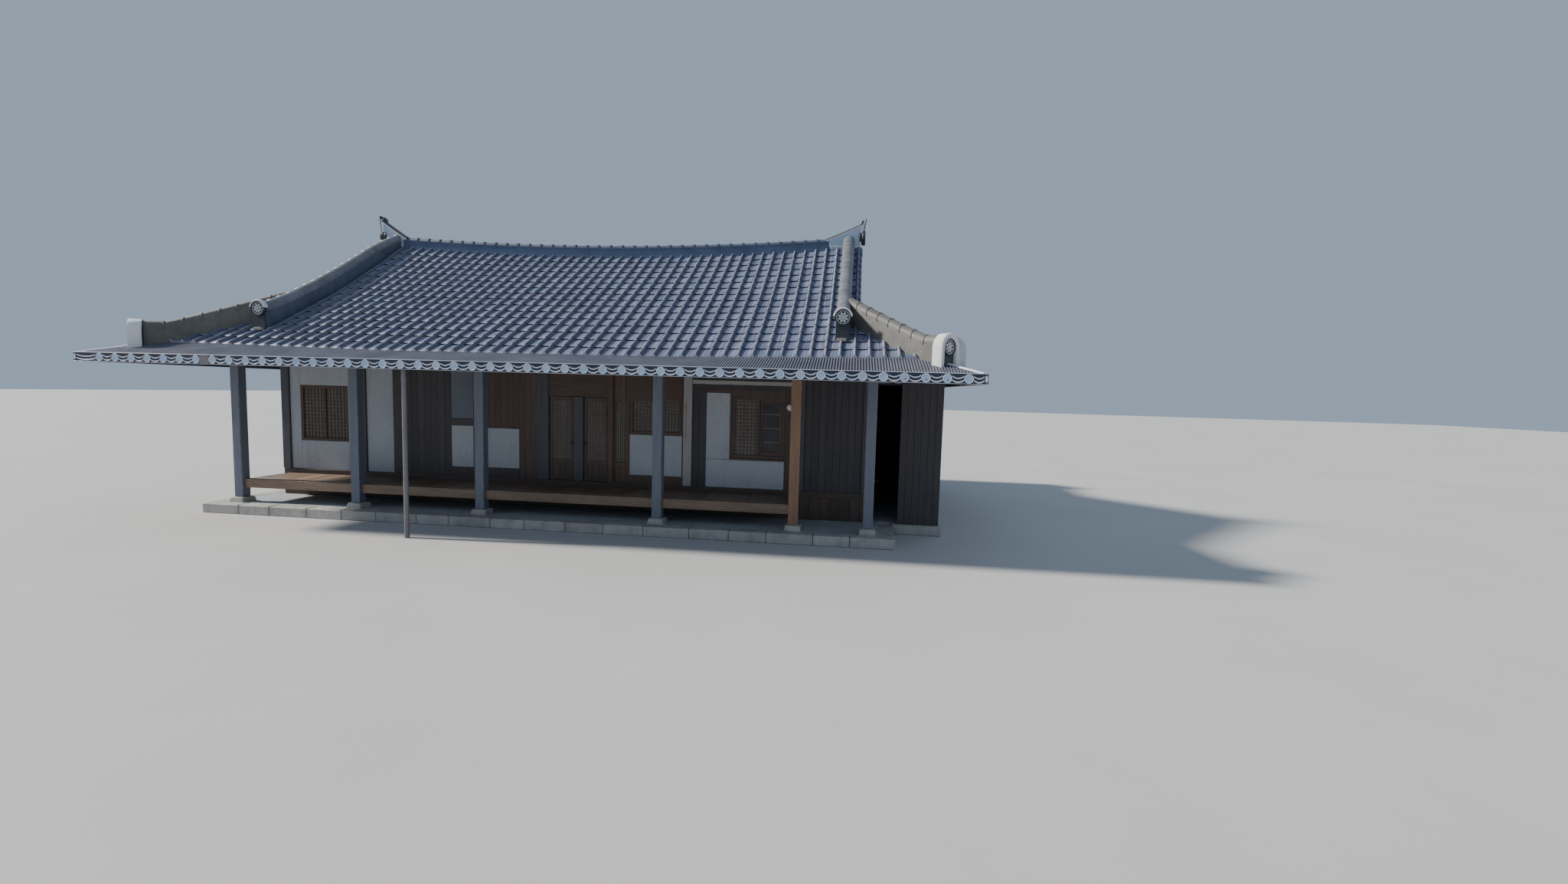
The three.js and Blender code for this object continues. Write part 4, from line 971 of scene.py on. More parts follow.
def gutter_ornaments(shape, half_along, front, blank):
    """Discs with swags between them, plain strips at the blank places, two beads and a leaf at each end."""
    radius = DISC_RADIUS
    last = half_along + GUTTER_OUT - 0.052
    first = half_along + GUTTER_OUT - DISC_INSET
    discs = int((2 * first) / DISC_PITCH) + 1
    rim = [(radius, 0), (radius, 0.0016), (radius * 0.96, 0.0034), (radius * 0.85, 0.0034)]
    dish = [(radius * 0.85, 0.0034), (radius * 0.8, 0.0018), (radius * 0.2, 0.0026), (0, 0.0026)]
    screw = [(0.009, 0.0016), (0.008, 0.0032), (0, 0.0036)]
    for k in range(discs):
        a = first - k * DISC_PITCH
        turned(shape, rim, (a, -front, DISC_Z), (0, -1, 0), 28, SWAG_WHITE)
        turned(shape, dish, (a, -front, DISC_Z), (0, -1, 0), 28, PALE_BLUE)
        if 1 <= k <= 3:
            turned(shape, screw, (a + 0.006, -front, DISC_Z - 0.02), (0, -1, 0), 12, IRON)
    for k in range(-1, discs):
        a0 = -last if k == discs - 1 else first - (k + 1) * DISC_PITCH + radius + 0.002
        a1 = last if k == -1 else first - k * DISC_PITCH - radius - 0.002
        if any(a0 < b < a1 for b in blank):
            block(shape, a0 - 0.002, a1 + 0.002, -front - 0.0022, -front + 0.001, GUTTER_LOW + 0.008,
                  GUTTER_TOP - 0.012, PIPE_GREY, 0, 0.001)
            continue
        for top, half in ((2.424, 0.007), (2.376, 0.0085)):
            swag(shape, a0, a1, -front, top, 0.026, half)
    reach = half_along + GUTTER_OUT - 0.0005
    for proud, low, high, chamfer in ((0.0025, GUTTER_TOP - 0.006, GUTTER_TOP + 0.004, 0.0012),
                                      (0.0015, GUTTER_LOW + 0.0005, GUTTER_LOW + 0.005, 0.001)):
        block(shape, -reach, reach, -front - proud, -front + 0.002, low, high, SWAG_WHITE, 0, chamfer)
    for end in (-1, 1):
        leaf(shape, end * (half_along + GUTTER_OUT - 0.026), -front)


def build_eaves():
    """Ribbed strip and patterned gutter of each side, drawn facing -Y and turned, and a cap on each hip."""
    face = GUTTER_OUT - 0.004
    for turns, (name, half_along, half_across) in enumerate(SIDES):
        def at(a, out, z):
            return (a, -(half_across + out), z)

        shape = Shape()
        ribbed_strip(shape, half_along, at)
        gutter_sheet(shape, half_along, at, face)
        gutter_ornaments(shape, half_along, half_across + face, (-4.35, -1.86) if name == "front" else ())
        shape = shape.quarter_turned(turns)
        piece(f"{name}_eave_sheet", shape, "gutter", sharp=30, replaces=[f"{name}_gutter"])
    shape = Shape()
    lid = [(-0.026, -0.012), (-0.02, 0.004), (0, 0.012), (0.02, 0.004), (0.026, -0.012)]
    for sx in (-1, 1):
        for sy in (-1, 1):
            path = [(sx * (TILE_X + out), sy * (TILE_Y + out), strip_height(TILE_X, TILE_X, out) + RIB_HEIGHT)
                    for out in (0.12, STRIP_RUN - 0.008)]
            loft(shape, sections_along(path, lid), SWAG_WHITE, 0)
    piece("strip_hip_caps", shape, "gutter")


def build_downpipe():
    """A round pipe with three socket joints."""
    radius = 0.032
    outline = [(0, 0.004), (radius - 0.002, 0.004), (radius, 0.006)]
    for joint in (0.75, 1.55, 2.2):
        outline += [(radius, joint - 0.03), (radius + 0.002, joint - 0.028), (radius + 0.002, joint + 0.028),
                    (radius, joint + 0.03)]
    outline += [(radius, 2.32), (radius - 0.002, 2.325), (0, 2.325)]
    shape = Shape()
    turned(shape, outline, (-1.325, -(TILE_Y + GUTTER_OUT - 0.06), 0), (0, 0, 1), 28, PIPE_GREY)
    piece("downpipe_tube", shape, "post", replaces=["downpipe"])


# Frame: plinth, floors, posts and rafters
def build_plinth():
    """Dressed stone kerb along the plinth's edges, a mortar bed inside it and a stone under each post."""
    shape = Shape()
    wide, bed_in, stone_long, joint = 0.22, 0.2, 0.62, 0.003
    x, front, back = 5.45, -3.42, 2.98
    side_x, side_front, side_back = 6.22, -2.4, 2.7
    for x0, x1, y0, y1 in ((-x + bed_in, x - bed_in, front, back),
                           (x - wide, side_x - bed_in, side_front, side_back)):
        block(shape, x0, x1, y0 + bed_in, y1 - bed_in, 0.002, PLINTH_TOP - 0.004, GREY_MORTAR, 0)
    for x0, x1, y0, y1 in (
            (-x, x, front, front + wide), (-x, x, back - wide, back),
            (-x, -x + wide, front + wide, back - wide), (x - wide, x, front + wide, side_front),
            (side_x - wide, side_x, side_front, side_back),
            (x, side_x, side_front, side_front + wide), (x, side_x, side_back - wide, side_back)):
        long_x = x1 - x0 > y1 - y0
        length = (x1 - x0) if long_x else (y1 - y0)
        count = max(1, round(length / stone_long))
        cuts = [length * i / count + dice.uniform(-0.06, 0.06) for i in range(1, count)]
        cuts = [0, *cuts, length]
        for a, b in zip(cuts, cuts[1:]):
            high = PLINTH_TOP - dice.uniform(0, 0.004)
            inset = dice.uniform(0.001, 0.006)
            if long_x:
                stone = (x0 + a + joint, x0 + b - joint, y0 + inset, y1)
            else:
                stone = (x0, x1 - inset, y0 + a + joint, y0 + b - joint)
            block(shape, *stone, 0.0, high, STONE, None, 0.012)
    octagon = ((-1, -0.9), (-0.9, -1), (0.9, -1), (1, -0.9), (1, 0.9), (0.9, 1), (-0.9, 1), (-1, 0.9))
    for i in range(1, 7):
        low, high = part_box(f"front_post_{i}")
        cx, cy = (low.x + high.x) / 2, (low.y + high.y) / 2
        rings = [[(cx + half * a, cy + half * b, PLINTH_TOP + up) for a, b in octagon]
                 for up, half in ((-0.02, 0.125), (0.02, 0.122), (0.07, 0.11), (0.078, 0.1))]
        loft(shape, rings, STONE)
    piece("plinth_stones", shape, "stone", replaces=["plinth"])


def build_posts():
    for i in range(1, 7):
        low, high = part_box(f"front_post_{i}")
        shape = Shape()
        finish = SUN_POST if i == 5 else BLUE_POST
        block(shape, low.x, high.x, low.y, high.y, low.z, high.z, finish, 0, 0.009)
        piece(f"front_post_{i}_timber", shape, "post", replaces=[f"front_post_{i}"])


def build_veranda():
    """Short boards between a front beam, cut around the posts, and a wall ledger."""
    shape = Shape()
    x0, x1, front, back = -4.987, 3.897, -3.12, -2.3003
    top, low, gate = 0.524, 0.369, -3.0247
    post_half, board, gap = 0.0728, 0.165, 0.0012
    edges = [x0] + [x + side * post_half for x in (-3.0, -0.91, 1.91) for side in (-1, 1)] + [x1]
    for a, b in zip(edges[::2], edges[1::2]):
        block(shape, a, b, front, gate - 0.002, low + 0.01, top - 0.003, VERANDA_X)
    block(shape, x0, x1, gate, gate + 0.03, low, top - 0.004, VERANDA_X)
    block(shape, x0, x1, back - 0.09, back, low, top - 0.004, VERANDA_X)
    count = round((x1 - x0) / board)
    for k in range(count):
        a, b = (x0 + (x1 - x0) * (k + i) / count for i in (0, 1))
        z0, z1 = top - 0.045, top - dice.uniform(0, 0.002)
        block(shape, a + gap, b - gap, gate + 0.032, back - 0.092, z0, z1, VERANDA_Y, None, 0.003)
    piece("veranda_timber", shape, "wood", replaces=["veranda_floor"])


def rafter_set(name, half_length, half_span, depth, turns):
    """Round rafters with boards over them, drawn facing -Y and turned."""
    break_s, break_z, edge, ridge = 1.289, 3.12, 2.5, 4.52
    radius, pitch, board, width = 0.045, 0.32, 0.012, 0.14
    wood = (BROWN_Y, BROWN_X)[turns % 2]

    def under(s):
        if s < break_s:
            return edge + (break_z - edge) / break_s * s - 0.0003
        return break_z + (ridge - break_z) / (TILE_Y - break_s) * (s - break_s) - 0.0003

    def stops(values):
        return [s for s in values if s < values[-1]] + [values[-1]]

    shape = Shape()
    rows = stops([0.04, break_s, depth])
    count = int(half_span / width) + 1
    for s0, s1 in zip(rows, rows[1:]):
        for k in range(-count, count):
            ends = (k * width + 0.001, (k + 1) * width - 0.001)
            corners = []
            for s in (s0, s1):
                reach = half_span - s - 0.002
                corners += [(max(-reach, min(reach, a)), s) for a in ends]
            if corners[1][0] - corners[0][0] < 0.004 and corners[3][0] - corners[2][0] < 0.004:
                continue
            verts = [(x, s - half_length, under(s) - drop) for drop in (0, board) for x, s in corners]
            faces = [[0, 1, 3, 2], [4, 6, 7, 5], [0, 2, 6, 4], [1, 5, 7, 3], [0, 4, 5, 1], [2, 3, 7, 6]]
            shape.add(verts, faces, wood)
    number = int((half_span - 0.26) / pitch)
    for i in range(-number, number + 1):
        x = i * pitch
        reach = min(depth - 0.02, half_span - abs(x) - 2 * radius)
        if reach < 0.26:
            continue
        tone = dice.uniform(-1, 1)
        rings = []
        for n, s in enumerate(stops([0.05, 0.056, break_s, reach])):
            middle = under(s) - board + 0.002 - radius
            r = radius - (0 if n else 0.006)
            rings.append([(x + r * c, s - half_length, middle + r * sine) for c, sine in arc(14)[:-1]])
        loft(shape, rings, wood, tone)
    piece(f"{name}_rafter_rounds", shape.quarter_turned(turns), "wood", replaces=[f"{name}_rafters"])


def build_rafters():
    depths = {"front": 1.45, "right": 0.8, "back": 1.05, "left": 0.8}
    for turns, (name, half_along, half_across) in enumerate(SIDES):
        rafter_set(name, half_across, half_along, depths[name], turns)


# Front wall
def lattice(shape, x0, x1, y0, y1, z0, z1, across, up, bar=0.011):
    """Crossing bars on a grid of equal lights."""
    for i in range(1, across):
        x = x0 + (x1 - x0) * i / across
        block(shape, x - bar / 2, x + bar / 2, y0, y1, z0, z1, LATTICE, None, 0.0015)
    for i in range(1, up):
        z = z0 + (z1 - z0) * i / up
        block(shape, x0, x1, y0 + 0.001, y1 - 0.001, z - bar / 2, z + bar / 2, LATTICE, None, 0.0015)


def boards(shape, x0, x1, y0, y1, z0, z1, width, finish, along_x=True):
    """Upright boards side by side with grooves between them."""
    groove = 0.003
    start, end = (x0, x1) if along_x else (y0, y1)
    count = max(1, round((end - start) / width))
    for k in range(count):
        a = start + (end - start) * k / count + groove / 2
        b = start + (end - start) * (k + 1) / count - groove / 2
        back = dice.uniform(0, 0.002)
        box = (a, b, y0 + back, y1) if along_x else (x0 + back, x1 - back, a, b)
        block(shape, *box, z0, z1, finish, None, 0.003)


def post(shape, x0, x1, finish, top=TOP):
    block(shape, x0, x1, POST_FACE, WALL_BACK, LOW, top, finish, 0, 0.006)


def stud(shape, x0, x1, z0, z1, finish):
    block(shape, x0, x1, PANEL_FACE, FILL_BACK, z0, z1, finish)


def panel(shape, x0, x1, z0, z1, finish=None, lift=0.0):
    """A plastered field with slightly rounded margins."""
    block(shape, x0, x1, PANEL_FACE - lift, FILL_BACK, z0, z1, finish or PLASTER, 0, 0.006)


def rail(shape, x0, x1, z0, z1, finish):
    block(shape, x0, x1, PANEL_FACE - 0.01, WALL_BACK - 0.012, z0, z1, finish, None, 0.004)


def planks(shape, x0, x1, z0, z1, width, finish, shift=0.0):
    boards(shape, x0, x1, PANEL_FACE + shift, FILL_BACK, z0, z1, width, finish)


def lamp(shape, x, z):
    """A small round wall lamp."""
    dome = [(0.055, 0.0), (0.058, 0.006), (0.052, 0.014), (0.05, 0.03), (0.042, 0.045), (0.028, 0.055),
            (0, 0.059)]
    turned(shape, dome, (x, PANEL_FACE - 0.01, z), (0, -1, 0), 24, LAMP_WHITE)


LEFT_BAY = (
    (post, -5.1, -4.955, SLATE_POST), (panel, -4.955, -4.7605, LOW, TOP),
    (panel, -4.7605, -3.8595, LOW, 1.0995), (panel, -4.7605, -3.8595, 2.0605, TOP),
    (panel, -3.8595, -3.66, LOW, TOP), (post, -3.66, -3.512, SLATE_POST),
    (panel, -3.512, -3.0, LOW, TOP), (post, -3.0, -2.8103, DARK_Z)
)
# Dark boards, white fields with a rail between them, the upper one plaster painted darker as shade under the
# eave, then brown boards beside the doors
BOARD_BAY = (
    (planks, -2.81, -1.963, LOW, TOP, 0.12, DARK_Z), (panel, -1.96, -1.55, 1.57, TOP, SHADE_PLASTER),
    (rail, -1.96, -1.55, 1.457, 1.567, DARK_Z), (panel, -1.96, -1.55, 0.75, 1.454),
    (rail, -1.96, -1.55, LOW, 0.747, DARK_Z),
    (block, -1.548, -1.382, POST_FACE, FILL_BACK, LOW, TOP, BROWN_Z, 0, 0.005),
    (panel, -1.38, -0.75, 0.76, 1.43, PLASTER, 0.004), (rail, -1.38, -0.75, LOW, 0.757, DARK_Z),
    (planks, -1.38, -0.75, 1.433, TOP, 0.105, BROWN_Z),
    (planks, -0.748, -0.427, LOW, TOP, 0.107, BROWN_Z, -0.004),
    (post, -0.426, -0.22, SLATE_POST)
)
# A narrow lattice light beside the doors, then a white field under the middle window
MIDDLE_BAY = (
    (block, 0.803, 0.889, POST_FACE, WALL_BACK, LOW, TOP, RED_Z, 0, 0.005),
    (block, 0.889, 1.13, PANEL_FACE + 0.03, FILL_BACK, 0.93, 1.93, PAPER, 0, 0.001),
    (stud, 0.889, 0.92, LOW, TOP, RED_Z), (stud, 1.098, 1.164, LOW, TOP, RED_Z),
    (rail, 0.92, 1.098, 1.92, TOP, RED_Z), (rail, 0.92, 1.098, 0.86, 0.94, RED_Z),
    (planks, 0.92, 1.098, LOW, 0.858, 0.09, RED_Z, 0.008),
    (lattice, 0.92, 1.098, PANEL_FACE + 0.008, PANEL_FACE + 0.026, 0.94, 1.92, 5, 24),
    (panel, 1.165, 2.045, 0.74, 1.41), (rail, 1.165, 2.07, LOW, 0.738, RED_Z),
    (rail, 1.165, 2.045, 2.0005, TOP, RED_Z), (stud, 2.0455, 2.07, 0.74, TOP, RED_Z),
    (post, 2.07, 2.2097, PALE_POST)
)
# Dark field, white panels around the window, a light band above, then the kitchen boards
RIGHT_BAY = (
    (planks, 2.21, 2.44, LOW, 2.188, 0.115, DARK_Z), (panel, 2.443, 2.83, 1.06, 2.13),
    (panel, 2.443, 3.722, LOW, 1.057, PLASTER, 0.003), (rail, 2.443, 2.83, 2.133, 2.188, BROWN_Z),
    (rail, 2.832, 3.722, 1.06, 1.0915, BROWN_Z), (rail, 2.832, 3.722, 2.0725, 2.188, BROWN_Z),
    (stud, 2.832, 2.8645, 1.0925, 2.0715, BROWN_Z), (stud, 3.7225, 3.88, LOW, 2.188, BROWN_Z),
    (rail, 2.21, 3.88, 2.1885, 2.262, DARK_Z),
    (block, 2.21, 3.88, FRONT, WALL_BACK, 2.263, 2.328, PALE_BEAM, 0, 0.006),
    (rail, 2.21, 3.88, 2.329, TOP, DARK_Z), (lamp, 3.8, 1.93), (post, 3.88, 4.04, SLATE_POST),
    (planks, 4.041, 4.954, LOW, TOP, 0.114, DARK_Z), (post, 4.955, 5.1, SLATE_POST)
)
BASE = (
    (boards, -WALL_X, WALL_X, FRONT, WALL_BACK, 0.1503, 0.5, 0.16, BROWN_Z),
    (block, -WALL_X, WALL_X, FRONT, WALL_BACK, 0.5, SILL_TOP, BROWN_X, 0, 0.006)
)
STORE_X = (5.54, 6.18)
STORE_Z = (0.1503, 2.38)


def built(name, slot, parts, replaces=()):
    """A piece made of parts, each a function and what it takes."""
    shape = Shape()
    for part, *values in parts:
        part(shape, *values)
    piece(name, shape, slot, replaces=replaces)


def build_front_wall():
    for name, bay, slot in (("left", LEFT_BAY, "plaster"), ("board", BOARD_BAY, "wood"),
                            ("middle", MIDDLE_BAY, "plaster"), ("right", RIGHT_BAY, "plaster")):
        node = "front_wall_boards" if name == "board" else f"front_wall_{name}"
        built(f"{name}_wall_bay", slot, bay, [node])


def window_frame(shape, x0, x1, z0, z1, y, wood):
    """A frame with a middle post; returns the ends of its two lights."""
    for low, high in ((z0, z0 + SASH), (z1 - SASH, z1)):
        block(shape, x0, x1, y, y + SASH_DEEP, low, high, wood)
    stiles = [x0 + (x1 - x0 - SASH) * i / 2 for i in range(3)]
    for x in stiles:
        block(shape, x, x + SASH, y + 0.001, y + SASH_DEEP - 0.001, z0 + SASH, z1 - SASH, wood)
    return [(a + SASH, b) for a, b in zip(stiles, stiles[1:])]


def lattice_light(shape, a, b, y, z0, z1, across, up, front=0.014, bar=0.011):
    """Paper behind a lattice."""
    block(shape, a, b, y + 0.036, y + 0.044, z0, z1, PAPER, 0, 0.0005)
    lattice(shape, a, b, y + front, y + 0.032, z0, z1, across, up, bar)


def lattice_window(x0, x1, z0, z1, y, wood, across, up):
    """A frame with two lattice lights."""
    shape = Shape()
    for a, b in window_frame(shape, x0, x1, z0, z1, y, wood):
        lattice_light(shape, a, b, y, z0 + SASH, z1 - SASH, across, up)
    return shape


def build_windows():
    """Two lattice windows, and one with a lattice light beside a glazed one."""
    for name, hole, wood, bars in (
            ("window_left", (-4.7594, -3.8606, 1.1006, 2.0594), BROWN_Z, (6, 14)),
            ("window_middle", (1.1656, 2.0444, 1.4156, 1.9994), RED_Z, (7, 9))):
        piece(f"{name}_lattice", lattice_window(*hole, WINDOW_Y, wood, *bars), "wood", replaces=[name])

    shape = Shape()
    z0, z1 = 1.0926, 2.0714
    light, lighter_rolls = window_frame(shape, 2.8656, 3.7214, z0, z1, WINDOW_Y, BROWN_Z)
    z0, z1 = z0 + SASH, z1 - SASH
    lattice_light(shape, *light, WINDOW_Y, z0, z1, 6, 16, 0.012, 0.015)
    a, b = lighter_rolls
    y0, y1 = WINDOW_Y + 0.02, WINDOW_Y + 0.05
    stile, rail_high = 0.05, 0.06
    for low, high in ((z0, z0 + rail_high), (z1 - rail_high, z1)):
        block(shape, a, b, y0, y1, low, high, BROWN_Z)
    for x0, x1 in ((a, a + stile), (b - stile, b)):
        block(shape, x0, x1, y0, y1, z0 + rail_high, z1 - rail_high, BROWN_Z)
    a, b = a + stile, b - stile
    y0, y1 = WINDOW_Y + 0.036, WINDOW_Y + 0.042
    block(shape, a, b, y0, y1, z0 + rail_high, z1 - rail_high, GLASS, 0, 0.0005)
    for k in (1, 2, 3):
        z = z0 + (z1 - z0) * k / 4
        block(shape, a, b, WINDOW_Y + 0.026, y0, z - 0.006, z + 0.006, LATTICE, None, 0.001)
    piece("window_right_lattice", shape, "wood", replaces=["window_right"])


def hinge_barrel(shape, x, z):
    """One half of a hinge, with softly rounded ends."""
    radius, long, soft = 0.008, 0.035, 0.0028
    foot = [(0, 0), (radius - soft, 0), (radius, soft)]
    head = [(r, long - along) for r, along in foot[::-1]]
    turned(shape, foot + head, (x, HINGE_Y, z), (0, 0, 1), 16, IRON)


def fixed_hinges(name, pin_x, side):
    """The fixed halves of a door's hinges, with the caps of their pins."""
    shape = Shape()
    for z in HINGE_ZS:
        hinge_barrel(shape, pin_x, z)
        jamb = sorted((pin_x, pin_x - side * 0.0115))
        block(shape, *jamb, HINGE_Y - 0.006, HINGE_Y + 0.006, z + 0.001, z + 0.034, IRON, 0, 0.001)
        cap = [(0.0045, 0), (0.0045, 0.004), (0.003, 0.006), (0, 0.006)]
        turned(shape, cap, (pin_x, HINGE_Y, z + 0.0703), (0, 0, 1), 12, IRON)
    piece(f"{name}_hinge_plates", shape, "wood")


def pull_ring(shape, centre):
    """A small upright iron ring."""
    radius, thick = 0.02, 0.003
    rings = []
    for c, s in arc(16):
        radial = Vector((c, 0, s))
        rings.append([Vector(centre) + radial * (radius + thick * u) + Vector((0, thick * v, 0))
                      for u, v in arc(8)[:-1]])
    loft(shape, rings, IRON, 0, ends=False)


def door_leaf(name, pin_x, side):
    """Lattice over paper above, board panels below, with its pull and its halves of the hinges."""
    low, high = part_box(name)
    y0 = FRONT + 0.015
    x0, x1 = sorted((pin_x + side * 0.001, high.x if side > 0 else low.x))
    z0, z1 = low.z, high.z
    stile, rail_high, lock = 0.048, 0.06, 0.95
    a, b = x0 + stile, x1 - stile
    shape = Shape()
    for left, right in ((x0, a), (b, x1)):
        block(shape, left, right, y0, y0 + 0.036, z0, z1, BROWN_Z)
    for foot, head in ((z0, z0 + rail_high), (z1 - rail_high, z1), (lock - rail_high, lock)):
        block(shape, a, b, y0 + 0.001, y0 + 0.035, foot, head, BROWN_Z)
    boards(shape, a, b, y0 + 0.012, y0 + 0.028, z0 + rail_high, lock - rail_high, 0.11, BROWN_Z)
    lattice(shape, a, b, y0 + 0.003, y0 + 0.019, lock, z1 - rail_high, 8, 24, 0.009)
    block(shape, a, b, y0 + 0.021, y0 + 0.025, lock, z1 - rail_high, PAPER, 0, 0.0005)
    pull_x = x1 - stile / 2 if side > 0 else x0 + stile / 2
    rose = [(0.016, 0), (0.016, 0.003), (0.01, 0.006), (0, 0.006)]
    turned(shape, rose, (pull_x, y0, 1.25), (0, -1, 0), 16, IRON)
    pull_ring(shape, (pull_x, y0 - 0.008, 1.228))
    arm = sorted((pin_x - side * 0.004, pin_x + side * 0.008))
    for z in HINGE_ZS:
        foot = z + HINGE_HALF
        hinge_barrel(shape, pin_x, foot)
        block(shape, *arm, HINGE_Y, y0 + 0.001, foot + 0.001, foot + 0.034, IRON, 0, 0.001)
    piece(f"{name}_leaf", shape, "wood", body=name, replaces=[name])


def build_doors():
    for name, pin_x, side in (("left", -0.209, 1), ("right", 0.792, -1)):
        fixed_hinges(name, pin_x, side)
        door_leaf(f"{name}_door", pin_x, side)


def build_door_surround():
    head = (block, -0.2197, 0.8027, FRONT, WALL_BACK, 2.0, TOP, BROWN_X, 0, 0.006)
    built("door_head_timber", "wood", [head], ["door_head"])
    built("door_post_timber", "wood", [(post, 0.221, 0.379, SLATE_POST, 1.9997)], ["door_post"])
    built("base_boards", "wood", BASE, ["front_base_wall"])


# Other walls
def build_side_and_back():
    """Posts, sills and beams let into the plaster of the back and side walls, and the back windows."""
    proud, deep, half, foot, head = 0.014, 0.03, 0.072, 0.16, 2.37
    shape = Shape()
    for x in (-5.028, -3.5, -1.9, 0.0, 1.9, 3.5, 5.028):
        block(shape, x - half, x + half, BACK - deep, BACK + proud, foot, head, DARK_Z, 0, 0.006)
    for z0, z1 in SIDE_TIMBERS:
        block(shape, -WALL_X, WALL_X, BACK - deep, BACK + proud + 0.001, z0, z1, DARK_X, 0, 0.006)
    block(shape, -WALL_X + 0.05, WALL_X - 0.05, BACK - deep, BACK + proud - 0.003, 1.12, 1.2, DARK_X, 0)
    piece("back_wall_timbers", shape, "wood")

    for name, side in (("left", -1), ("right", 1)):
        shape = Shape()
        face = sorted((side * (WALL_X - deep), side * (WALL_X + proud)))
        beam = sorted((side * (WALL_X - deep), side * (WALL_X + proud + 0.001)))
        for y in (-2.1, -0.55, 1.0, 2.55):
            block(shape, *face, y - half, y + half, foot, head, DARK_Z, 0, 0.006)
        for z0, z1 in SIDE_TIMBERS:
            block(shape, *beam, -2.17, 2.57, z0, z1, DARK_Y, 0, 0.006)
        piece(f"{name}_wall_timbers", shape, "wood")

    for name in ("back_window_1", "back_window_2"):
        low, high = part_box(name)
        shape = lattice_window(low.x, high.x, low.z, high.z, 0.0, DARK_Z, 6, 11)
        shape = shape.placed(lambda x, y, z: (x, high.y - y, z), flip=True)
        piece(f"{name}_lattice", shape, "wood", replaces=[name])


def build_store():
    """The boarded screen that closes the space under the right eave."""
    x0, x1 = STORE_X
    wide, thick = 0.12, 0.05
    for name, *part in (
            ("front", x0, x1, FRONT, FILL_BACK, *STORE_Z, 0.107, DARK_Z),
            ("side", x1 - thick, x1, WALL_BACK + 0.0003, BACK - 0.1203, *STORE_Z, wide, DARK_Z, False),
            ("back", WALL_X + 0.0003, x1, BACK - 0.12, BACK, *STORE_Z, wide, DARK_Z)):
        built(f"store_{name}_boards", "wood", [(boards, *part)], [f"store_{name}"])


def build_gables():
    """Upright boards with cover strips on each gable, and a curved barge board under each verge."""
    face, half, low, apex, pitch, count = 4.565, 2.0, 3.33, 4.44, 0.59, 26
    for name, side in (("left", -1), ("right", 1)):
        shape = Shape()
        board, cover = (sorted((side * (face + a), side * (face + b))) for a, b in ((0, 0.018), (0.01, 0.03)))
        for k in range(count):
            y0, y1 = (-half + 2 * half * (k + i) / count for i in (0, 1))
            high = apex - abs((y0 + y1) / 2) * pitch
            if high - low < 0.05:
                continue
            block(shape, *board, y0 + 0.002, y1 - 0.002, low, high, BROWN_Z, None, 0.003)
            block(shape, *cover, y1 - 0.018, y1 + 0.018, low, high - 0.02, BROWN_Z, None, 0.003)
        xa, xb = side * (VERGE_X - 0.045), side * (VERGE_X - 0.004)
        for sy in (-1, 1):
            rings = []
            for i in range(15):
                y = sy * (0.02 + 2.6 * i / 14)
                top = main_top(VERGE_X, y) - 0.012
                foot = top - (0.2 - 0.05 * math.sin(math.pi * i / 14))
                rings.append([(xa, y, foot), (xb, y, foot), (xb, y, top), (xa, y, top)])
            loft(shape, rings, DARK_Y)
        piece(f"{name}_gable_boards", shape, "wood")


def finish_nodes():
    """Materials of the frame's pieces that stay in sight."""
    for finish, names in (
            (BROWN_X, ["room_floor"]), (DARK_X, ["eave_beam", "front_upper_wall"]),
            (PLASTER, ["back_wall", "left_wall", "right_wall"]),
            (BED, ["front_roof", "back_roof", "left_skirt", "right_skirt"]),
            (DARK_Z, ["left_gable", "right_gable"])):
        for name in names:
            materials = NODES[name].data.materials
            materials.clear()
            materials.append(FINISHES[finish])


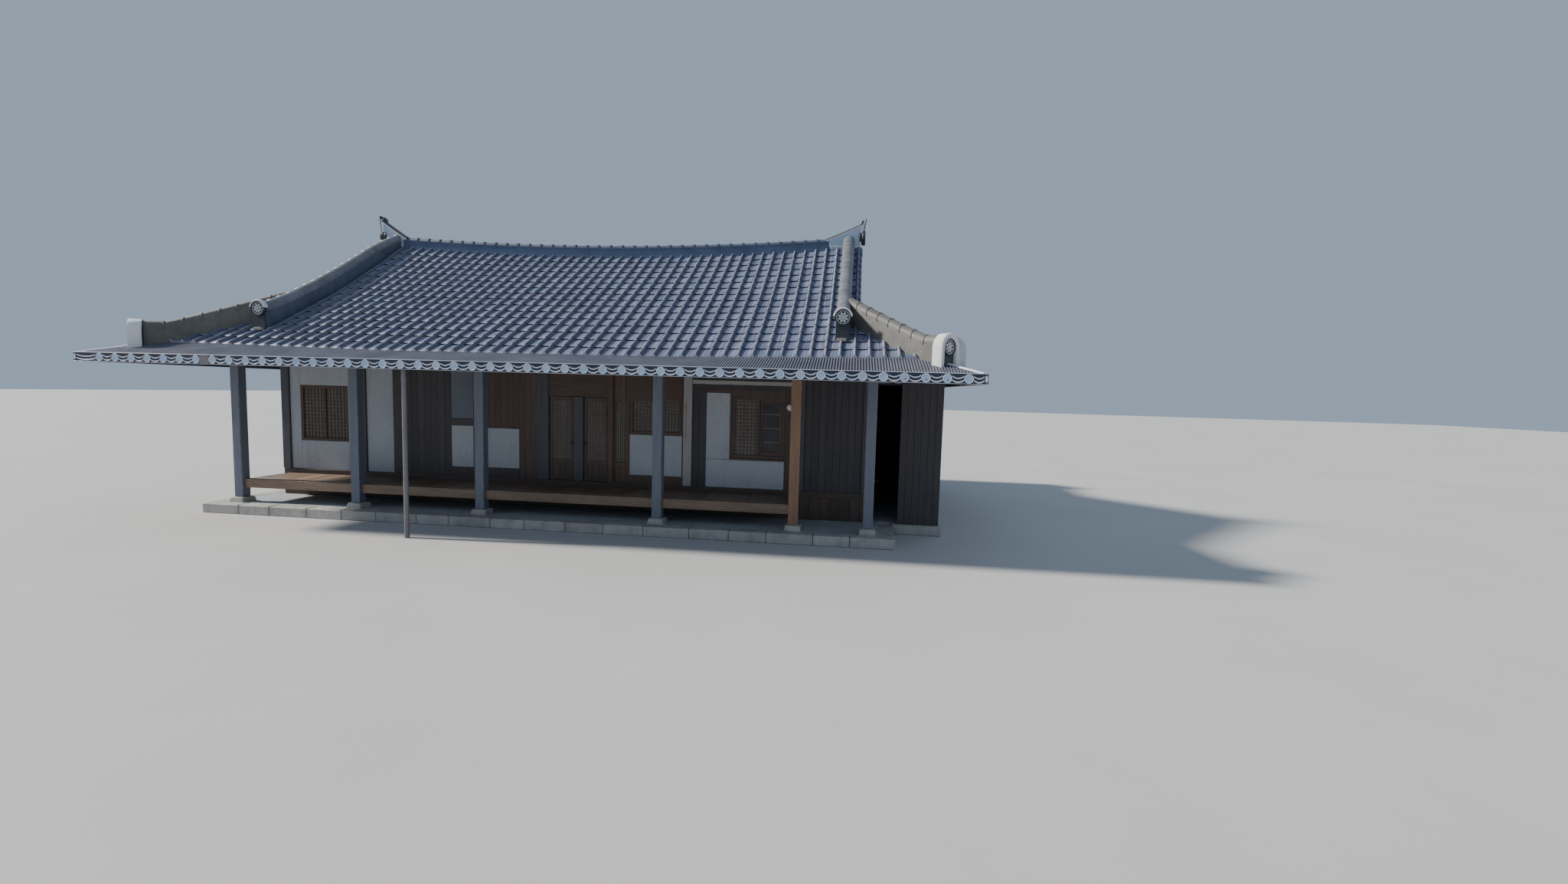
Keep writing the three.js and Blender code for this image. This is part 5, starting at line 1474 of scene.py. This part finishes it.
# Floor, light and camera
def build_stage():
    m = Finish("studio_floor", roughness=0.9)
    tone = m.noise(m.place(), 0.35, 3.0)
    finish = m.done(m.ramp(tone, [(0.3, grey(0.48)), (0.7, grey(0.52))]))
    size = 90.0
    corners = [(-size, -size, 0), (size, -size, 0), (size, size, 0), (-size, size, 0)]
    mesh = bpy.data.meshes.new("studio_floor")
    mesh.from_pydata(corners, [], [(0, 1, 2, 3)])
    mesh.materials.append(FINISHES[finish])
    floor = bpy.data.objects.new("studio_floor", mesh)
    bpy.context.scene.collection.objects.link(floor)

    world = bpy.data.worlds.new("studio")
    world.use_nodes = True
    background = world.node_tree.nodes["Background"]
    background.inputs[0].default_value = (0.62, 0.78, 1.0, 1)
    background.inputs[1].default_value = 0.5
    bpy.context.scene.world = world

    light = bpy.data.lights.new("sun", "SUN")
    light.energy = 6.6
    light.angle = math.radians(5)
    light.color = (1.0, 0.94, 0.85)
    sun = bpy.data.objects.new("sun", light)
    toward = Vector((-0.8, -0.03, 0.53))
    sun.rotation_euler = toward.to_track_quat("Z", "Y").to_euler()
    bpy.context.scene.collection.objects.link(sun)


def build_camera():
    """The photograph's own viewpoint."""
    yaw, pitch, roll = 0.108443, -0.0803515, 0.0284133
    focal_px, image_wide, sensor = 812.57, 2048, 36.0
    forward = Vector((-math.sin(yaw) * math.cos(pitch), math.cos(yaw) * math.cos(pitch), math.sin(pitch)))
    level = Vector((math.cos(yaw), math.sin(yaw), 0))
    upright = level.cross(forward)
    right = level * math.cos(roll) + upright * math.sin(roll)
    up = upright * math.cos(roll) - level * math.sin(roll)
    data = bpy.data.cameras.new("camera")
    data.sensor_width = sensor
    data.lens = focal_px / image_wide * sensor
    data.clip_end = 400
    camera = bpy.data.objects.new("camera", data)
    matrix = Matrix((right, up, -forward)).transposed().to_4x4()
    matrix.translation = (4.7855, -12.1258, 2.1733)
    camera.matrix_world = matrix
    bpy.context.scene.collection.objects.link(camera)
    bpy.context.scene.camera = camera


for build in (
        build_camera, build_stage, build_tiles, build_main_ridge, build_ridge_ends, build_corner_ridges,
        build_eaves, build_downpipe, build_plinth, build_posts, build_veranda, build_rafters,
        build_front_wall, build_windows, build_doors, build_door_surround, build_side_and_back, build_store,
        build_gables, finish_nodes):
    build()
